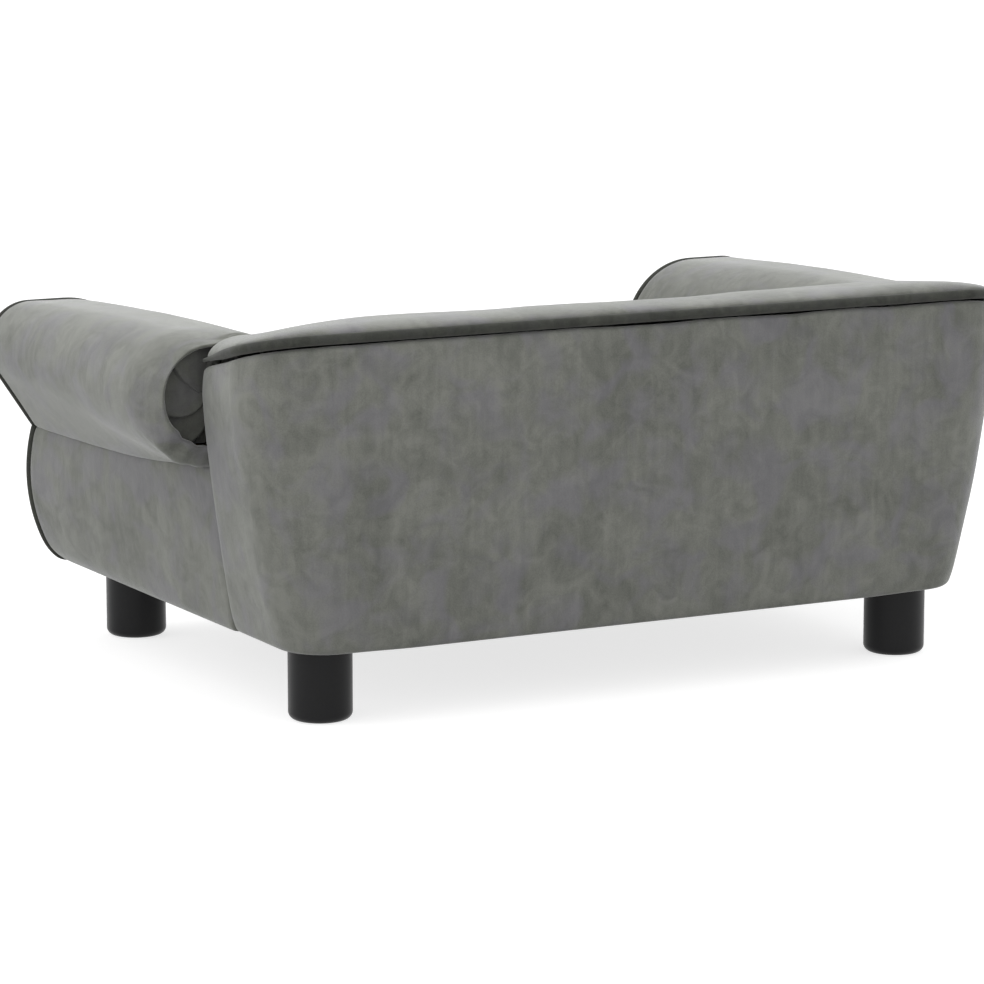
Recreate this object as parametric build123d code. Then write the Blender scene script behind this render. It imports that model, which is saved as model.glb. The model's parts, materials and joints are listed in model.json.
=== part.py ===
from build123d import *
from math import cos, radians, sin, tan
import os

# A small upholstered sofa bed for a dog: rolled arms, a low padded back that wraps round both
# rear corners, four round feet and a loose seat cushion with a zip.
# Lengths are in millimetres. X is the width, the front faces -Y, Z is up, the floor is z = 0.

# Overall plan
seat_width = 460.0  # between the inner faces of the arms
arm_length = 318.0  # front edge of the arm cover to the seam of the wing
wing_length = 120.0  # seam of the wing to the rear face at its top
wing_thickness = 86.0  # at the top of the wing
back_thickness = 62.0  # at the top of the back
ground_gap = 56.5  # floor to the underside of the covers

# Arm rolls
roll_outer_radius = 51.0
roll_inner_radius = 62.0  # shoulder on the seat side
roll_top_flat = 19.0  # level stretch between the shoulder and the crest of the roll
roll_crest_front = 272.0
roll_crest_rear = 287.5
roll_end_round = 12.0  # rounding of the rear end of the roll
roll_end_reach = 5.0  # the roll stands this far behind the seam of the wing
roll_seam_angle = 14.0  # degrees from straight down to the seam of the side panel
cap_radius = 37.5  # pleated end cap
cap_thickness = 2.0

# Side panels under the rolls: thickness of the arm at its bottom edge, and the bulge outside it
arm_base_front = 62.4
arm_base_rear = 58.5
side_bulge_front = 34.0
side_bulge_rear = 17.0
side_top_front_share = 0.91  # of the bulge, where the panel meets the roll
side_front_shares = ((1.0, 0.66), (0.62, 0.20))  # of the bulge and of the height
side_rear_shares = ((0.68, 0.567), (0.265, 0.055))

# Back and wings
back_corner_low = 38.0  # plan radius of the rear corners at the bottom
back_corner_high = 44.0
side_lean = 25.0  # how far the wing leans out up to the lean height
rear_lean = 7.0
lean_height = 240.0  # above it the walls stand upright
well_corner = 40.0  # plan radius of the inner rear corners of the seat
piping_rear_z = 290.0  # centre of the back piping along the rear
piping_slope = 13.0  # degrees that the piping drops towards the front of the wing
pad_seam_z = 285.0  # top of the pad at the seam of the wing
pad_slope = 6.8  # degrees that the pad rises from there to the rear
pad_outer_round = 25.0
pad_inner_round = 34.0

# Cloth and padding
fabric = 1.6  # plush with its backing
hem_width = 25.0  # covers turned under the base
dust_cover_thickness = 0.8
dust_cover_inset = 6.0
back_padding_thickness = 8.0
edge_padding = 3.0  # foam over the edges of the arm boards
piping_diameter = 6.0
piping_proud = 1.5  # how far the facing piping stands outside the arm cover
facing_gap = 0.3  # between the facing piping and the facing
facing_thickness = 4.5

# Frame
base_thickness = 12.0
base_inset = 5.0  # from the inside of the covers
board_thickness = 12.0
back_board_gap = 22.0  # foam in front of the back board
back_board_height = 195.0
post_size = 24.0
wing_board_gap = 10.0  # foam inside the wing board
wing_board_height = 170.0
arm_board_gap = 20.0  # foam inside the arm board
arm_board_height = 132.0
rear_board_gap = 6.0  # from the arm's rear board to the seam of the wing
rail_size = 24.0
rail_z = 224.0
front_rail_setback = 8.0  # front cover behind the arm fronts

# Feet and fixings
foot_radius = 24.0
foot_edge_round = 6.0
foot_outset = 22.5  # foot centre outside the inner face of the arm
foot_spacing_y = 344.0
foot_rear_inset = 53.0  # rear foot centre to the rear face at its top
stud_radius = 4.0
stud_depth = 34.0  # in the foot
nut_barrel_radius = 5.0
nut_flange_radius = 9.5
nut_flange_thickness = 1.5
screw_radius = 2.0
screw_head_radius = 4.0
screw_head_depth = 2.4
screw_length = 36.0
arm_screw_shares = (0.2, 0.8)  # of the height of a board
base_screw_shares = (0.35, 0.85)  # of the length of the arm board
row_screw_shares = (-0.85, -0.3, 0.3, 0.85)  # of half the seat
staple_width = 10.0
staple_wire = 1.0
staple_leg = 5.0
staple_count_side = 7
staple_count_end = 11

# Seat cushion
seat_top_z = 104.0  # top of the seat deck
cushion_gap = 1.0  # each side of the cushion, at its piping
cushion_front_setback = 8.0  # cushion front behind the arm fronts
cushion_rear_gap = 14.0  # rear boxing to the inner back, room for the zip
cushion_rest_gap = 0.3
cushion_boxing = 42.0  # between the two pipings
cushion_crown = 16.0
cushion_draw = 5.0  # how far the front and the sides draw in
cushion_front_corner = 24.0
cushion_rear_corner = 38.0
cushion_piping_diameter = 5.0
cushion_piping_gap = 0.3  # between the piping and the cushion cover
cushion_piping_lift = 4.0  # lower piping above the underside
cushion_cloth = 1.2
crown_level_width = 127.4  # least level middle of the crown
crown_level_depth = 28.7
crown_shares = (  # of the run and of the crown
    (0.06, 0.34), (0.2, 0.6), (0.4, 0.8), (0.7, 0.95), (1.0, 1.0),
)
crown_corner_share = 0.6  # how much of its radius a corner loses up to the middle

# Zip in the rear boxing
zip_length = 360.0
tape_height = 24.0
tape_thickness = 0.8
teeth_height = 5.0
teeth_thickness = 1.8
slider_length = 11.0
slider_height = 9.0
slider_plate = 1.6
slider_play = 0.3
slider_end_gap = 3.0
ear_thickness = 1.2
ear_length = 4.0
pin_radius = 0.8
pin_play = 0.05
pin_lift = 2.0  # pin above the slider plate
pull_eye_radius = 1.6
pull_eye_height = 3.6
pull_thickness = 1.4
pull_height = 6.0
pull_length = 18.0

overrun = 20.0  # cuts and extensions run this far past what they cut
reach = 2000.0  # half size of the blocks that stand for half spaces

# Places worked out from the sizes above
piping_radius = piping_diameter / 2
depth = piping_diameter + arm_length + wing_length + piping_diameter
front_y = -depth / 2
arm_front_y = front_y + piping_diameter
seam_y = arm_front_y + arm_length
rear_y = seam_y + wing_length
rear_low_y = rear_y - rear_lean
well_rear_y = rear_y - back_thickness
half_seat = seat_width / 2
half_top = half_seat + wing_thickness
half_bottom = half_top - side_lean
side_base_front = half_seat + arm_base_front
side_base_rear = half_seat + arm_base_rear
board_z = ground_gap + fabric
frame_z = board_z + base_thickness
deck_z = seat_top_z - fabric
roll_x = half_seat + roll_inner_radius + roll_top_flat
roll_front_z = roll_crest_front - roll_outer_radius
roll_rise = roll_crest_rear - roll_crest_front
shoulder_drop = roll_inner_radius - roll_outer_radius
side_front_height = roll_front_z - roll_outer_radius * cos(radians(roll_seam_angle)) - ground_gap
arm_board_x = half_seat + fabric + arm_board_gap
arm_board_outer_x = arm_board_x + board_thickness
front_board_rear_y = arm_front_y + board_thickness
rear_board_rear_y = seam_y - rear_board_gap
rear_board_y = rear_board_rear_y - board_thickness
rail_front_y = arm_front_y + front_rail_setback
rail_board_y = rail_front_y + fabric
rail_rear_y = rail_board_y + board_thickness
back_board_y = well_rear_y + fabric + back_board_gap
back_board_rear_y = back_board_y + board_thickness
wing_board_x = half_seat + fabric + wing_board_gap
wing_board_outer_x = wing_board_x + board_thickness
post_x = wing_board_outer_x - post_size
post_y = back_board_rear_y - post_size
foot_rear_y = rear_y - foot_rear_inset
foot_places = [
    (side * (half_seat + foot_outset), foot_rear_y - row * foot_spacing_y) for row in (0, 1) for side in (-1, 1)
]
cushion_half = half_seat - cushion_gap - cushion_piping_diameter - cushion_piping_gap
cushion_front_y = arm_front_y + cushion_front_setback + cushion_piping_diameter + cushion_piping_gap
cushion_rear_y = well_rear_y - cushion_rear_gap
crown_run = min(2 * cushion_half - crown_level_width, cushion_rear_y - cushion_front_y - crown_level_depth) / 2
cushion_low_z = seat_top_z + cushion_rest_gap
lower_seam_z = cushion_low_z + cushion_piping_lift + cushion_piping_diameter / 2
upper_seam_z = lower_seam_z + cushion_boxing
zip_z = (lower_seam_z + upper_seam_z) / 2
tape_y = cushion_rear_y + tape_thickness
teeth_y = tape_y + teeth_thickness
slider_y = teeth_y + slider_play + slider_plate
slider_x = slider_end_gap - zip_length / 2
pin_x = slider_x + slider_length / 2
pin_y = slider_y + pin_lift


def block(x0, x1, y0, y1, z0, z1):
    """A box between two corners."""
    middle = ((x0 + x1) / 2, (y0 + y1) / 2, (z0 + z1) / 2)
    return Pos(*middle) * Box(x1 - x0, y1 - y0, z1 - z0)


def above(z):
    return block(-reach, reach, -reach, reach, z, reach)


def behind(y):
    return block(-reach, reach, y, reach, -reach, reach)


def outside(x):
    return block(x, reach, -reach, reach, -reach, reach)


def under_slope(y, z, degrees):
    """Everything under a plane through (y, z) that rises towards the rear."""
    return Pos(0, y, z) * Rot(degrees, 0, 0) * block(-reach, reach, -reach, reach, -reach, 0)


def rod(start, end, radius):
    """A round bar between two points."""
    axis = Vector(*end) - Vector(*start)
    return extrude(Plane(origin=start, z_dir=axis) * Circle(radius), axis.length)


def tube(path, radius):
    """A round bar along a path."""
    return sweep(Plane(origin=path @ 0, z_dir=path % 0) * Circle(radius), path=path)


def all_of(pieces):
    """Several separate solids as one shape."""
    return Compound([solid for piece in pieces for solid in piece.solids()])


def cut(shape, *tools):
    """A shape less several others, with its solids together."""
    for tool in tools:
        shape = shape - tool
    return shape


def plate(half_width, front, rear, corner):
    """Plan with straight sides and two rounded rear corners."""
    corners = [(-half_width, front), (-half_width, rear), (half_width, rear), (half_width, front)]
    plan = make_face(Polyline(*corners, close=True))
    return fillet(plan.vertices().group_by(Axis.Y)[-1], corner)


# Forms of the back and wings, each at an inset from its outer surface


def back_walls(inset):
    """Solid inside the outer walls of the back: they lean out, then stand upright."""
    low = plate(half_bottom - inset, seam_y, rear_low_y - inset, back_corner_low - inset)
    high = plate(half_top - inset, seam_y, rear_y - inset, back_corner_high - inset)
    leaning = loft([Pos(0, 0, ground_gap) * low, Pos(0, 0, lean_height) * high], ruled=True)
    return leaning + extrude(Pos(0, 0, lean_height) * high, roll_crest_rear + overrun - lean_height)


def seat_well(inset):
    """The space between the arms and in front of the back, grown by the inset."""
    plan = plate(half_seat + inset, front_y - overrun, well_rear_y + inset, well_corner + inset)
    return extrude(Pos(0, 0, ground_gap) * plan, roll_crest_rear)


def back_form(inset):
    """The whole back and wings with the crowned top."""
    solid = back_walls(inset) & under_slope(seam_y, pad_seam_z - inset, pad_slope)
    rim = solid.faces().sort_by(Axis.Z)[-1].edges()
    rim = rim.filter_by(lambda edge: edge.center().Y > seam_y + fabric)
    solid = fillet(rim, pad_outer_round - inset) - seat_well(inset)
    rim = solid.faces().sort_by(Axis.Z)[-1].edges()
    rim = rim.filter_by(lambda edge: abs(edge.center().X) < half_seat + inset + fabric)
    rim = rim.filter_by(lambda edge: edge.center().Y < well_rear_y + inset + fabric)
    return fillet(rim, pad_inner_round - inset)


# Forms of the right arm, each at an inset from its outer surface


def roll_form(inset):
    """The round roll, with its rounded rear end."""
    run = roll_run + overrun + roll_end_reach - inset
    bar = extrude(roll_plane * Circle(roll_outer_radius - inset), -run)
    return fillet(bar.edges().sort_by(Axis.Y)[-1], roll_end_round - inset)


def shoulder_form(inset):
    """Inner side of the arm: a flat face and the round shoulder that runs into the roll."""
    radius = roll_inner_radius - inset
    slope = radius * cos(radians(45))
    board = arm_board_outer_x - roll_x
    low = -roll_crest_rear
    crest = radius - shoulder_drop
    corners = [(-roll_top_flat, crest), (0, crest), (0, -shoulder_drop), (board, -shoulder_drop), (board, low)]
    side = [(-roll_top_flat - radius, low), (-roll_top_flat - radius, -shoulder_drop)]
    shoulder = ThreePointArc(side[1], (-roll_top_flat - slope, slope - shoulder_drop), corners[0])
    profile = make_face([*Polyline(*corners, *side).edges(), shoulder])
    return extrude(roll_plane * profile, -(roll_run + 2 * overrun))


def arm_form(inset):
    """Roll and shoulder as one solid that ends at the seam of the wing."""
    wing_space = behind(seam_y) - outside(half_top)
    return ((roll_form(inset) + shoulder_form(inset)) & above(ground_gap)) - wing_space


def side_curve(y, base, bulge, height, shares, top_share, inset):
    """Outer edge of the side panel at one depth, from the roll down: a swell and its turn under."""
    top, middle, corner = [
        Vector(base + out * bulge - inset, y, ground_gap + up * height) for out, up in ((top_share, 1), *shares)
    ]
    swell = ThreePointArc(top, middle, corner)
    return [swell, TangentArc(corner, (base - inset, y, ground_gap), tangent=swell % 1)]


def front_side_curve(inset):
    return side_curve(front_y, side_base_front, side_bulge_front, side_front_height,
                      side_front_shares, side_top_front_share, inset)


def rear_side_curve(inset):
    return side_curve(seam_y, side_base_rear, side_bulge_rear, side_front_height + roll_rise,
                      side_rear_shares, 1, inset)


def side_section(curve):
    """Upright section from the arm board out to the side panel. Its top reaches up into the roll."""
    top = curve[0] @ 0
    bottom = curve[1] @ 1
    inner = arm_board_outer_x
    corners = [bottom, (inner, bottom.Y, bottom.Z), (inner, top.Y, top.Z + roll_outer_radius), top]
    return make_face([*curve, *Polyline(*corners).edges()])


def side_loft(inset):
    return loft([side_section(front_side_curve(inset)), side_section(rear_side_curve(inset))], ruled=True)


# Feet and their fixings


def foot_post(place):
    return Pos(*place, 0) * extrude(Circle(foot_radius), board_z)


def stud(place):
    return Pos(*place, board_z - stud_depth) * extrude(Circle(stud_radius), stud_depth + base_thickness)


def foot(place):
    """A round foot with a softened lower edge and a blind hole for its stud."""
    body = foot_post(place)
    return fillet(body.edges().sort_by(Axis.Z)[0], foot_edge_round) - stud(place)


def nut_space(place):
    """The T-nut with its bore filled: a barrel in the board and a flange let in on top."""
    barrel = Pos(*place, board_z) * extrude(Circle(nut_barrel_radius), base_thickness)
    flange = extrude(Circle(nut_flange_radius), nut_flange_thickness)
    return barrel + Pos(*place, frame_z - nut_flange_thickness) * flange


def screw(start, direction):
    """A wood screw whose head lies flush with the face that it starts from."""
    seat = Plane(origin=start, z_dir=direction)
    head = extrude(seat * Circle(screw_head_radius), screw_head_depth)
    return head + extrude(seat * Circle(screw_radius), screw_length)


def screw_places():
    """Start and direction of every screw of the frame."""
    arm_x = arm_board_x + board_thickness / 2
    wing_x = wing_board_x + board_thickness / 2
    up = (0, 0, 1)
    places = []
    for side in (-1, 1):
        for share in arm_screw_shares:
            z = frame_z + share * arm_board_height
            places.append(((side * arm_x, arm_front_y, z), (0, 1, 0)))
            places.append(((side * arm_x, rear_board_rear_y, z), (0, -1, 0)))
            z = frame_z + share * wing_board_height
            places.append(((side * wing_board_outer_x, back_board_y + board_thickness / 2, z), (-side, 0, 0)))
        for share in base_screw_shares:
            y = front_board_rear_y + share * (rear_board_y - front_board_rear_y)
            places.append(((side * arm_x, y, board_z), up))
        places.append(((side * roll_x, arm_front_y, rail_z), (0, 1, 0)))
        places.append(((side * roll_x, rear_board_rear_y, rail_z), (0, -1, 0)))
        places.append(((side * wing_x, (rear_board_rear_y + post_y) / 2, board_z), up))
    for share in row_screw_shares:
        places.append(((share * half_seat, back_board_y + board_thickness / 2, board_z), up))
        places.append(((share * half_seat, rail_board_y + board_thickness / 2, board_z), up))
    return places


def clear_of_feet(place):
    gaps = [Vector(place[0] - x, place[1] - y, 0).length for x, y in foot_places]
    return min(gaps) > foot_radius + staple_width


def staple_places():
    """Middle of each staple and the turn of its crown, round the edge of the dust cover."""
    edge = (dust_cover_inset + hem_width) / 2
    side_x = side_base_rear - edge
    first_y = arm_front_y + hem_width
    last_y = rear_low_y - back_corner_low
    places = []
    for index in range(staple_count_side):
        y = first_y + (last_y - first_y) * index / (staple_count_side - 1)
        places += [(-side_x, y, 90), (side_x, y, 90)]
    for index in range(staple_count_end):
        x = (half_bottom - back_corner_low) * (2 * index / (staple_count_end - 1) - 1)
        places.append((x, rear_low_y - edge, 0))
        if abs(x) < half_seat - hem_width:
            places.append((x, rail_front_y + edge, 0))
    return [place for place in places if clear_of_feet(place)]


def staple(x, y, turn):
    """A wire staple with its crown under the dust cover."""
    low = ground_gap - dust_cover_thickness - staple_wire
    wire = Pos(0, 0, low + staple_wire / 2) * Box(staple_width, staple_wire, staple_wire)
    for side in (-1, 1):
        leg = Box(staple_wire, staple_wire, staple_leg)
        wire += Pos(side * (staple_width - staple_wire) / 2, 0, low + staple_leg / 2) * leg
    return Pos(x, y, 0) * Rot(0, 0, turn) * wire


# Loose seat cushion and its zip


def cushion_plan(inset, corner_share=1.0):
    """Plan of the cushion: its front and sides draw in between the corners, the rear is straight."""
    side = cushion_half - inset
    front = cushion_front_y + inset
    rear = cushion_rear_y - inset
    middle = (front + rear) / 2
    edges = [
        ThreePointArc((-side, front), (0, front + cushion_draw), (side, front)),
        ThreePointArc((side, front), (side - cushion_draw, middle), (side, rear)),
        Line((side, rear), (-side, rear)),
        ThreePointArc((-side, rear), (cushion_draw - side, middle), (-side, front)),
    ]
    plan = make_face(edges)
    trim = min(inset, cushion_cloth)
    plan = fillet(plan.vertices().group_by(Axis.Y)[0], (cushion_front_corner - trim) * corner_share)
    return fillet(plan.vertices().group_by(Axis.Y)[-1], (cushion_rear_corner - trim) * corner_share)


def cushion_form(inset):
    """Flat underside, upright boxing and a crowned top."""
    underside = Pos(0, 0, cushion_low_z + inset) * cushion_plan(inset + cushion_piping_diameter)
    boxing = Pos(0, 0, lower_seam_z) * cushion_plan(inset)
    crown = [Pos(0, 0, upper_seam_z) * cushion_plan(inset)]
    for run, rise in crown_shares:
        plan = cushion_plan(inset + run * crown_run, 1 - crown_corner_share * run)
        crown.append(Pos(0, 0, upper_seam_z + rise * (cushion_crown - inset)) * plan)
    return loft([underside, boxing], ruled=True) + extrude(boxing, cushion_boxing) + loft(crown)


def cushion_piping(z):
    """Round piping in the seam between the boxing and a panel."""
    radius = cushion_piping_diameter / 2
    seam = Pos(0, 0, z) * cushion_plan(-radius - cushion_piping_gap)
    return tube(seam.face().outer_wire(), radius)


def zip_slider():
    """Slider that bridges the teeth, with two ears and a pin for the pull."""
    half_channel = teeth_height / 2 + slider_play
    half_eye = pull_eye_height / 2 + slider_play
    rear_x = slider_x + slider_length
    body = block(slider_x, rear_x, tape_y + slider_play, slider_y,
                 zip_z - slider_height / 2, zip_z + slider_height / 2)
    body -= block(slider_x - overrun, rear_x + overrun, tape_y, teeth_y + slider_play,
                  zip_z - half_channel, zip_z + half_channel)
    for side in (-1, 1):
        ends = sorted((side * half_eye, side * (half_eye + ear_thickness)))
        body += block(pin_x - ear_length / 2, pin_x + ear_length / 2, slider_y, pin_y + 2 * pin_radius,
                      zip_z + ends[0], zip_z + ends[1])
    half_pin = half_eye + ear_thickness
    return body + rod((pin_x, pin_y, zip_z - half_pin), (pin_x, pin_y, zip_z + half_pin), pin_radius)


def zip_pull():
    """Flat tab with a barrel that turns on the slider's pin."""
    half_eye = pull_eye_height / 2
    half = pull_thickness / 2
    neck_end = pin_x + ear_length / 2 + slider_play
    barrel = rod((pin_x, pin_y, zip_z - half_eye), (pin_x, pin_y, zip_z + half_eye), pull_eye_radius)
    neck = block(pin_x, neck_end, pin_y - half, pin_y + half, zip_z - half_eye, zip_z + half_eye)
    tab = block(neck_end, pin_x + pull_length, pin_y - half, pin_y + half,
                zip_z - pull_height / 2, zip_z + pull_height / 2)
    tab = fillet(tab.edges().filter_by(Axis.Y).group_by(Axis.X)[-1], pull_height / 3)
    bore = rod((pin_x, pin_y, zip_z - pull_height), (pin_x, pin_y, zip_z + pull_height), pin_radius + pin_play)
    return barrel + neck + tab - bore


# The roll's axis rises from the front of the arm to the seam of the wing
roll_start = Vector(roll_x, front_y, roll_front_z)
roll_end = Vector(roll_x, seam_y, roll_front_z + roll_rise)
roll_run = (roll_end - roll_start).length
roll_direction = (roll_end - roll_start).normalized()
roll_plane = Plane(origin=roll_start - roll_direction * overrun, x_dir=(1, 0, 0), z_dir=-roll_direction)

# Fixings, which the boards and covers are cut for
screws = all_of([screw(*place) for place in screw_places()])
staples = all_of([staple(*place) for place in staple_places()])
studs = all_of([stud(place) for place in foot_places])
nut_spaces = all_of([nut_space(place) for place in foot_places])
foot_posts = all_of([foot_post(place) for place in foot_places])

# Frame, with the boards of the right arm and wing
upright = above(frame_z) & behind(arm_front_y)
board_inset = fabric + edge_padding
arm_core = (arm_form(board_inset) + side_loft(board_inset)) & upright
front_board = arm_core - behind(front_board_rear_y)
rear_board = (arm_core & behind(rear_board_y)) - behind(rear_board_rear_y)
arm_board = block(arm_board_x, arm_board_outer_x, front_board_rear_y, rear_board_y,
                  frame_z, frame_z + arm_board_height)
top_rail = block(roll_x - rail_size / 2, roll_x + rail_size / 2, front_board_rear_y, rear_board_y,
                 rail_z - rail_size / 2, rail_z + rail_size / 2)
wing_board = block(wing_board_x, wing_board_outer_x, rear_board_rear_y, post_y,
                   frame_z, frame_z + wing_board_height)
corner_post = block(post_x, post_x + post_size, post_y, post_y + post_size,
                    frame_z, frame_z + wing_board_height)
back_board = block(-post_x, post_x, back_board_y, back_board_rear_y, frame_z, frame_z + back_board_height)
front_rail = block(-half_seat, half_seat, rail_board_y, rail_rear_y, frame_z, deck_z)
base_edge = fabric + base_inset
base_plan = plate(half_bottom - base_edge, arm_front_y, rear_low_y - base_edge, back_corner_low - base_edge)
base_board = extrude(Pos(0, 0, board_z) * base_plan, base_thickness)
base_board -= block(-half_seat - fabric, half_seat + fabric, front_y, rail_board_y, 0, reach)
right_boards = [front_board, rear_board, arm_board, top_rail, wing_board, corner_post, base_board]

# Right arm, soft pieces
roll_end_plane = Plane(origin=roll_end, z_dir=roll_direction)
cap_space = extrude(roll_end_plane * Circle(cap_radius), overrun)
low_front = block(0, arm_board_outer_x, arm_front_y, rail_board_y, ground_gap, reach)
arm_foam = cut(arm_form(fabric) & upright, cap_space, *right_boards)
arm_cover = cut((arm_form(0) - arm_form(fabric)) & (upright + low_front), cap_space, side_loft(0))
end_cap = extrude(roll_end_plane * Circle(cap_radius), cap_thickness) & outside(half_top)
side_padding = cut((side_loft(fabric) - roll_form(fabric)) & behind(arm_front_y) & above(board_z), *right_boards)
side_hem = block(side_base_front - hem_width, reach, arm_front_y, seam_y, ground_gap, board_z) & side_loft(0)
side_cover = ((side_loft(0) - side_loft(fabric) - roll_form(0)) & behind(arm_front_y)) + side_hem
facing_inset = piping_diameter - piping_proud + facing_gap
facing = (arm_form(facing_inset) + side_loft(facing_inset)) & above(board_z)
facing = (facing & behind(arm_front_y - facing_thickness)) - behind(arm_front_y)


def facing_piping(radius):
    """Piping round the front of the arm: up the seat side and over the roll, and down the side."""
    inset = piping_radius - piping_proud
    y = front_y + piping_radius
    shoulder_z = roll_front_z - shoulder_drop
    shoulder = roll_inner_radius - inset
    slope = shoulder * cos(radians(45))
    roll = roll_outer_radius - inset
    seam = radians(roll_seam_angle)
    low = (half_seat + inset, y, ground_gap + piping_radius)
    inner = (half_seat + inset, y, shoulder_z)
    shoulder_x = roll_x - roll_top_flat
    top = (shoulder_x, y, roll_front_z + roll)
    crest = (roll_x, y, roll_front_z + roll)
    path = Wire([
        Line(low, inner),
        ThreePointArc(inner, (shoulder_x - slope, y, shoulder_z + slope), top),
        Line(top, crest),
        ThreePointArc(crest, (roll_x + roll, y, roll_front_z),
                      (roll_x + roll * sin(seam), y, roll_front_z - roll * cos(seam))),
    ])
    over = tube(path, radius)
    down = Pos(0, piping_radius, 0) * tube(Wire(front_side_curve(inset)), radius)
    return over, (down & above(ground_gap)) - over


# Back and wings, soft pieces
under_piping = under_slope(rear_y + piping_radius, piping_rear_z, piping_slope)
inside_hem = plate(half_bottom - hem_width, seam_y, rear_low_y - hem_width, back_corner_low - hem_width)
back_hem = cut(back_walls(0), above(board_z), extrude(Pos(0, 0, ground_gap) * inside_hem, fabric))
back_outer_cover = ((back_walls(0) - back_walls(fabric)) & under_piping) + back_hem
back_pad = back_form(fabric)
inner_side = under_piping - seat_well(back_thickness / 3)
back_inner_cover = ((back_form(0) - back_pad) & above(frame_z)) - inner_side
padding_inner = fabric + back_padding_thickness
back_padding = (back_walls(fabric) - back_walls(padding_inner)) & under_piping & above(board_z)
back_padding -= base_board
wing_split_x = half_seat - well_corner
left_boards = [mirror(board, about=Plane.YZ) for board in (wing_board, corner_post)]
whole_pad = cut(back_pad & above(frame_z), back_padding, back_board, wing_board, corner_post, *left_boards)
wing_foam = whole_pad & outside(wing_split_x)
back_foam = whole_pad & block(-wing_split_x, wing_split_x, 0, reach, 0, reach)


def back_piping():
    """Piping along the top edge of the outer cover: the rear run and a falling run on each wing."""
    half = half_top + piping_radius
    rear = rear_y + piping_radius
    front = seam_y + cap_thickness
    front_z = piping_rear_z - (rear - front) * tan(radians(piping_slope))
    points = [(-half, front, front_z), (-half, rear, piping_rear_z),
              (half, rear, piping_rear_z), (half, front, front_z)]
    return tube(FilletPolyline(*points, radius=back_corner_high + piping_radius), piping_radius)


# Seat, rail and underside
well = seat_well(0) & behind(rail_rear_y)
seat_foam = (well & above(frame_z)) - above(deck_z)
seat_deck_cover = (well & above(deck_z)) - above(seat_top_z)
front_rail_cover = (
    block(-half_seat, half_seat, rail_front_y, rail_board_y, ground_gap, seat_top_z)
    + block(-half_seat, half_seat, rail_board_y, rail_rear_y, deck_z, seat_top_z)
    + block(-half_seat, half_seat, rail_board_y, rail_front_y + hem_width, ground_gap, board_z)
)
dust_plan = plate(side_base_rear - dust_cover_inset, rail_front_y + dust_cover_inset,
                  rear_low_y - dust_cover_inset, back_corner_low - dust_cover_inset)
dust_cover = extrude(Pos(0, 0, ground_gap - dust_cover_thickness) * dust_plan, dust_cover_thickness)

# Cushion and zip
cushion_foam = cushion_form(cushion_cloth)
cushion_pipings = [cushion_piping(z) for z in (upper_seam_z, lower_seam_z)]
zip_half = zip_length / 2
zip_tape = block(-zip_half, zip_half, cushion_rear_y, tape_y, zip_z - tape_height / 2, zip_z + tape_height / 2)
zip_teeth = block(-zip_half, zip_half, tape_y, teeth_y, zip_z - teeth_height / 2, zip_z + teeth_height / 2)

single = {
    "base_board": cut(base_board, nut_spaces, screws, staples),
    "t_nuts": nut_spaces - studs,
    "leg_bolts": studs,
    "frame_screws": screws,
    "front_rail": front_rail - screws,
    "back_board": back_board - screws,
    "back_padding": back_padding,
    "back_foam": cut(back_foam, screws),
    "seat_foam": seat_foam,
    "back_outer_cover": cut(back_outer_cover, foot_posts, staples),
    "back_inner_cover": back_inner_cover,
    "back_piping": back_piping(),
    "seat_deck_cover": seat_deck_cover,
    "front_rail_cover": cut(front_rail_cover, foot_posts, staples),
    "dust_cover": cut(dust_cover, foot_posts, staples),
    "dust_cover_staples": staples,
    "cushion_foam": cushion_foam,
    "cushion_cover": cushion_form(0) - cushion_foam,
    "cushion_piping_top": cushion_pipings[0],
    "cushion_piping_bottom": cushion_pipings[1],
    "zip_tape": zip_tape,
    "zip_teeth": zip_teeth,
    "zip_slider": zip_slider(),
    "zip_pull": zip_pull(),
}

# Pieces that the right and the left side both have, as made for the right side
paired = {
    "arm_board": arm_board - screws,
    "arm_front_board": front_board - screws,
    "arm_rear_board": rear_board - screws,
    "arm_top_rail": top_rail - screws,
    "wing_board": wing_board - screws,
    "corner_post": corner_post - screws,
    "arm_foam": arm_foam - screws,
    "side_padding": side_padding,
    "wing_foam": wing_foam,
    "arm_cover": arm_cover,
    "side_cover": cut(side_cover, foot_posts, staples),
    "arm_end_cap": end_cap,
    "arm_facing": cut(facing, *facing_piping(piping_radius + facing_gap)),
    "facing_piping": all_of(facing_piping(piping_radius)),
    "foot_rear": foot(foot_places[1]),
    "foot_front": foot(foot_places[3]),
}

os.makedirs("parts", exist_ok=True)
nodes = dict(single)
for name, shape in paired.items():
    nodes[name + "_right"] = shape
    nodes[name + "_left"] = mirror(shape, about=Plane.YZ)
for name, shape in nodes.items():
    export_step(all_of([shape]), f"parts/{name}.step")
print("pull pin at", pin_x, pin_y, zip_z)
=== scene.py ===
"""A dog sofa bed: plush covers with dark piping, black feet and a loose zipped seat cushion.

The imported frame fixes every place. Lengths are in metres, X is the width, the front faces -Y and
Z is up. Each sub-assembly is a class that builds its meshes and dresses them.
"""

import json
import logging
from dataclasses import dataclass
from enum import Enum
from math import acos, atan2, cos, pi, radians, sin, sqrt, tan
from typing import Callable, Iterable, Sequence

import bmesh
import bpy
from mathutils import Euler, Matrix, Vector, noise

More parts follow.
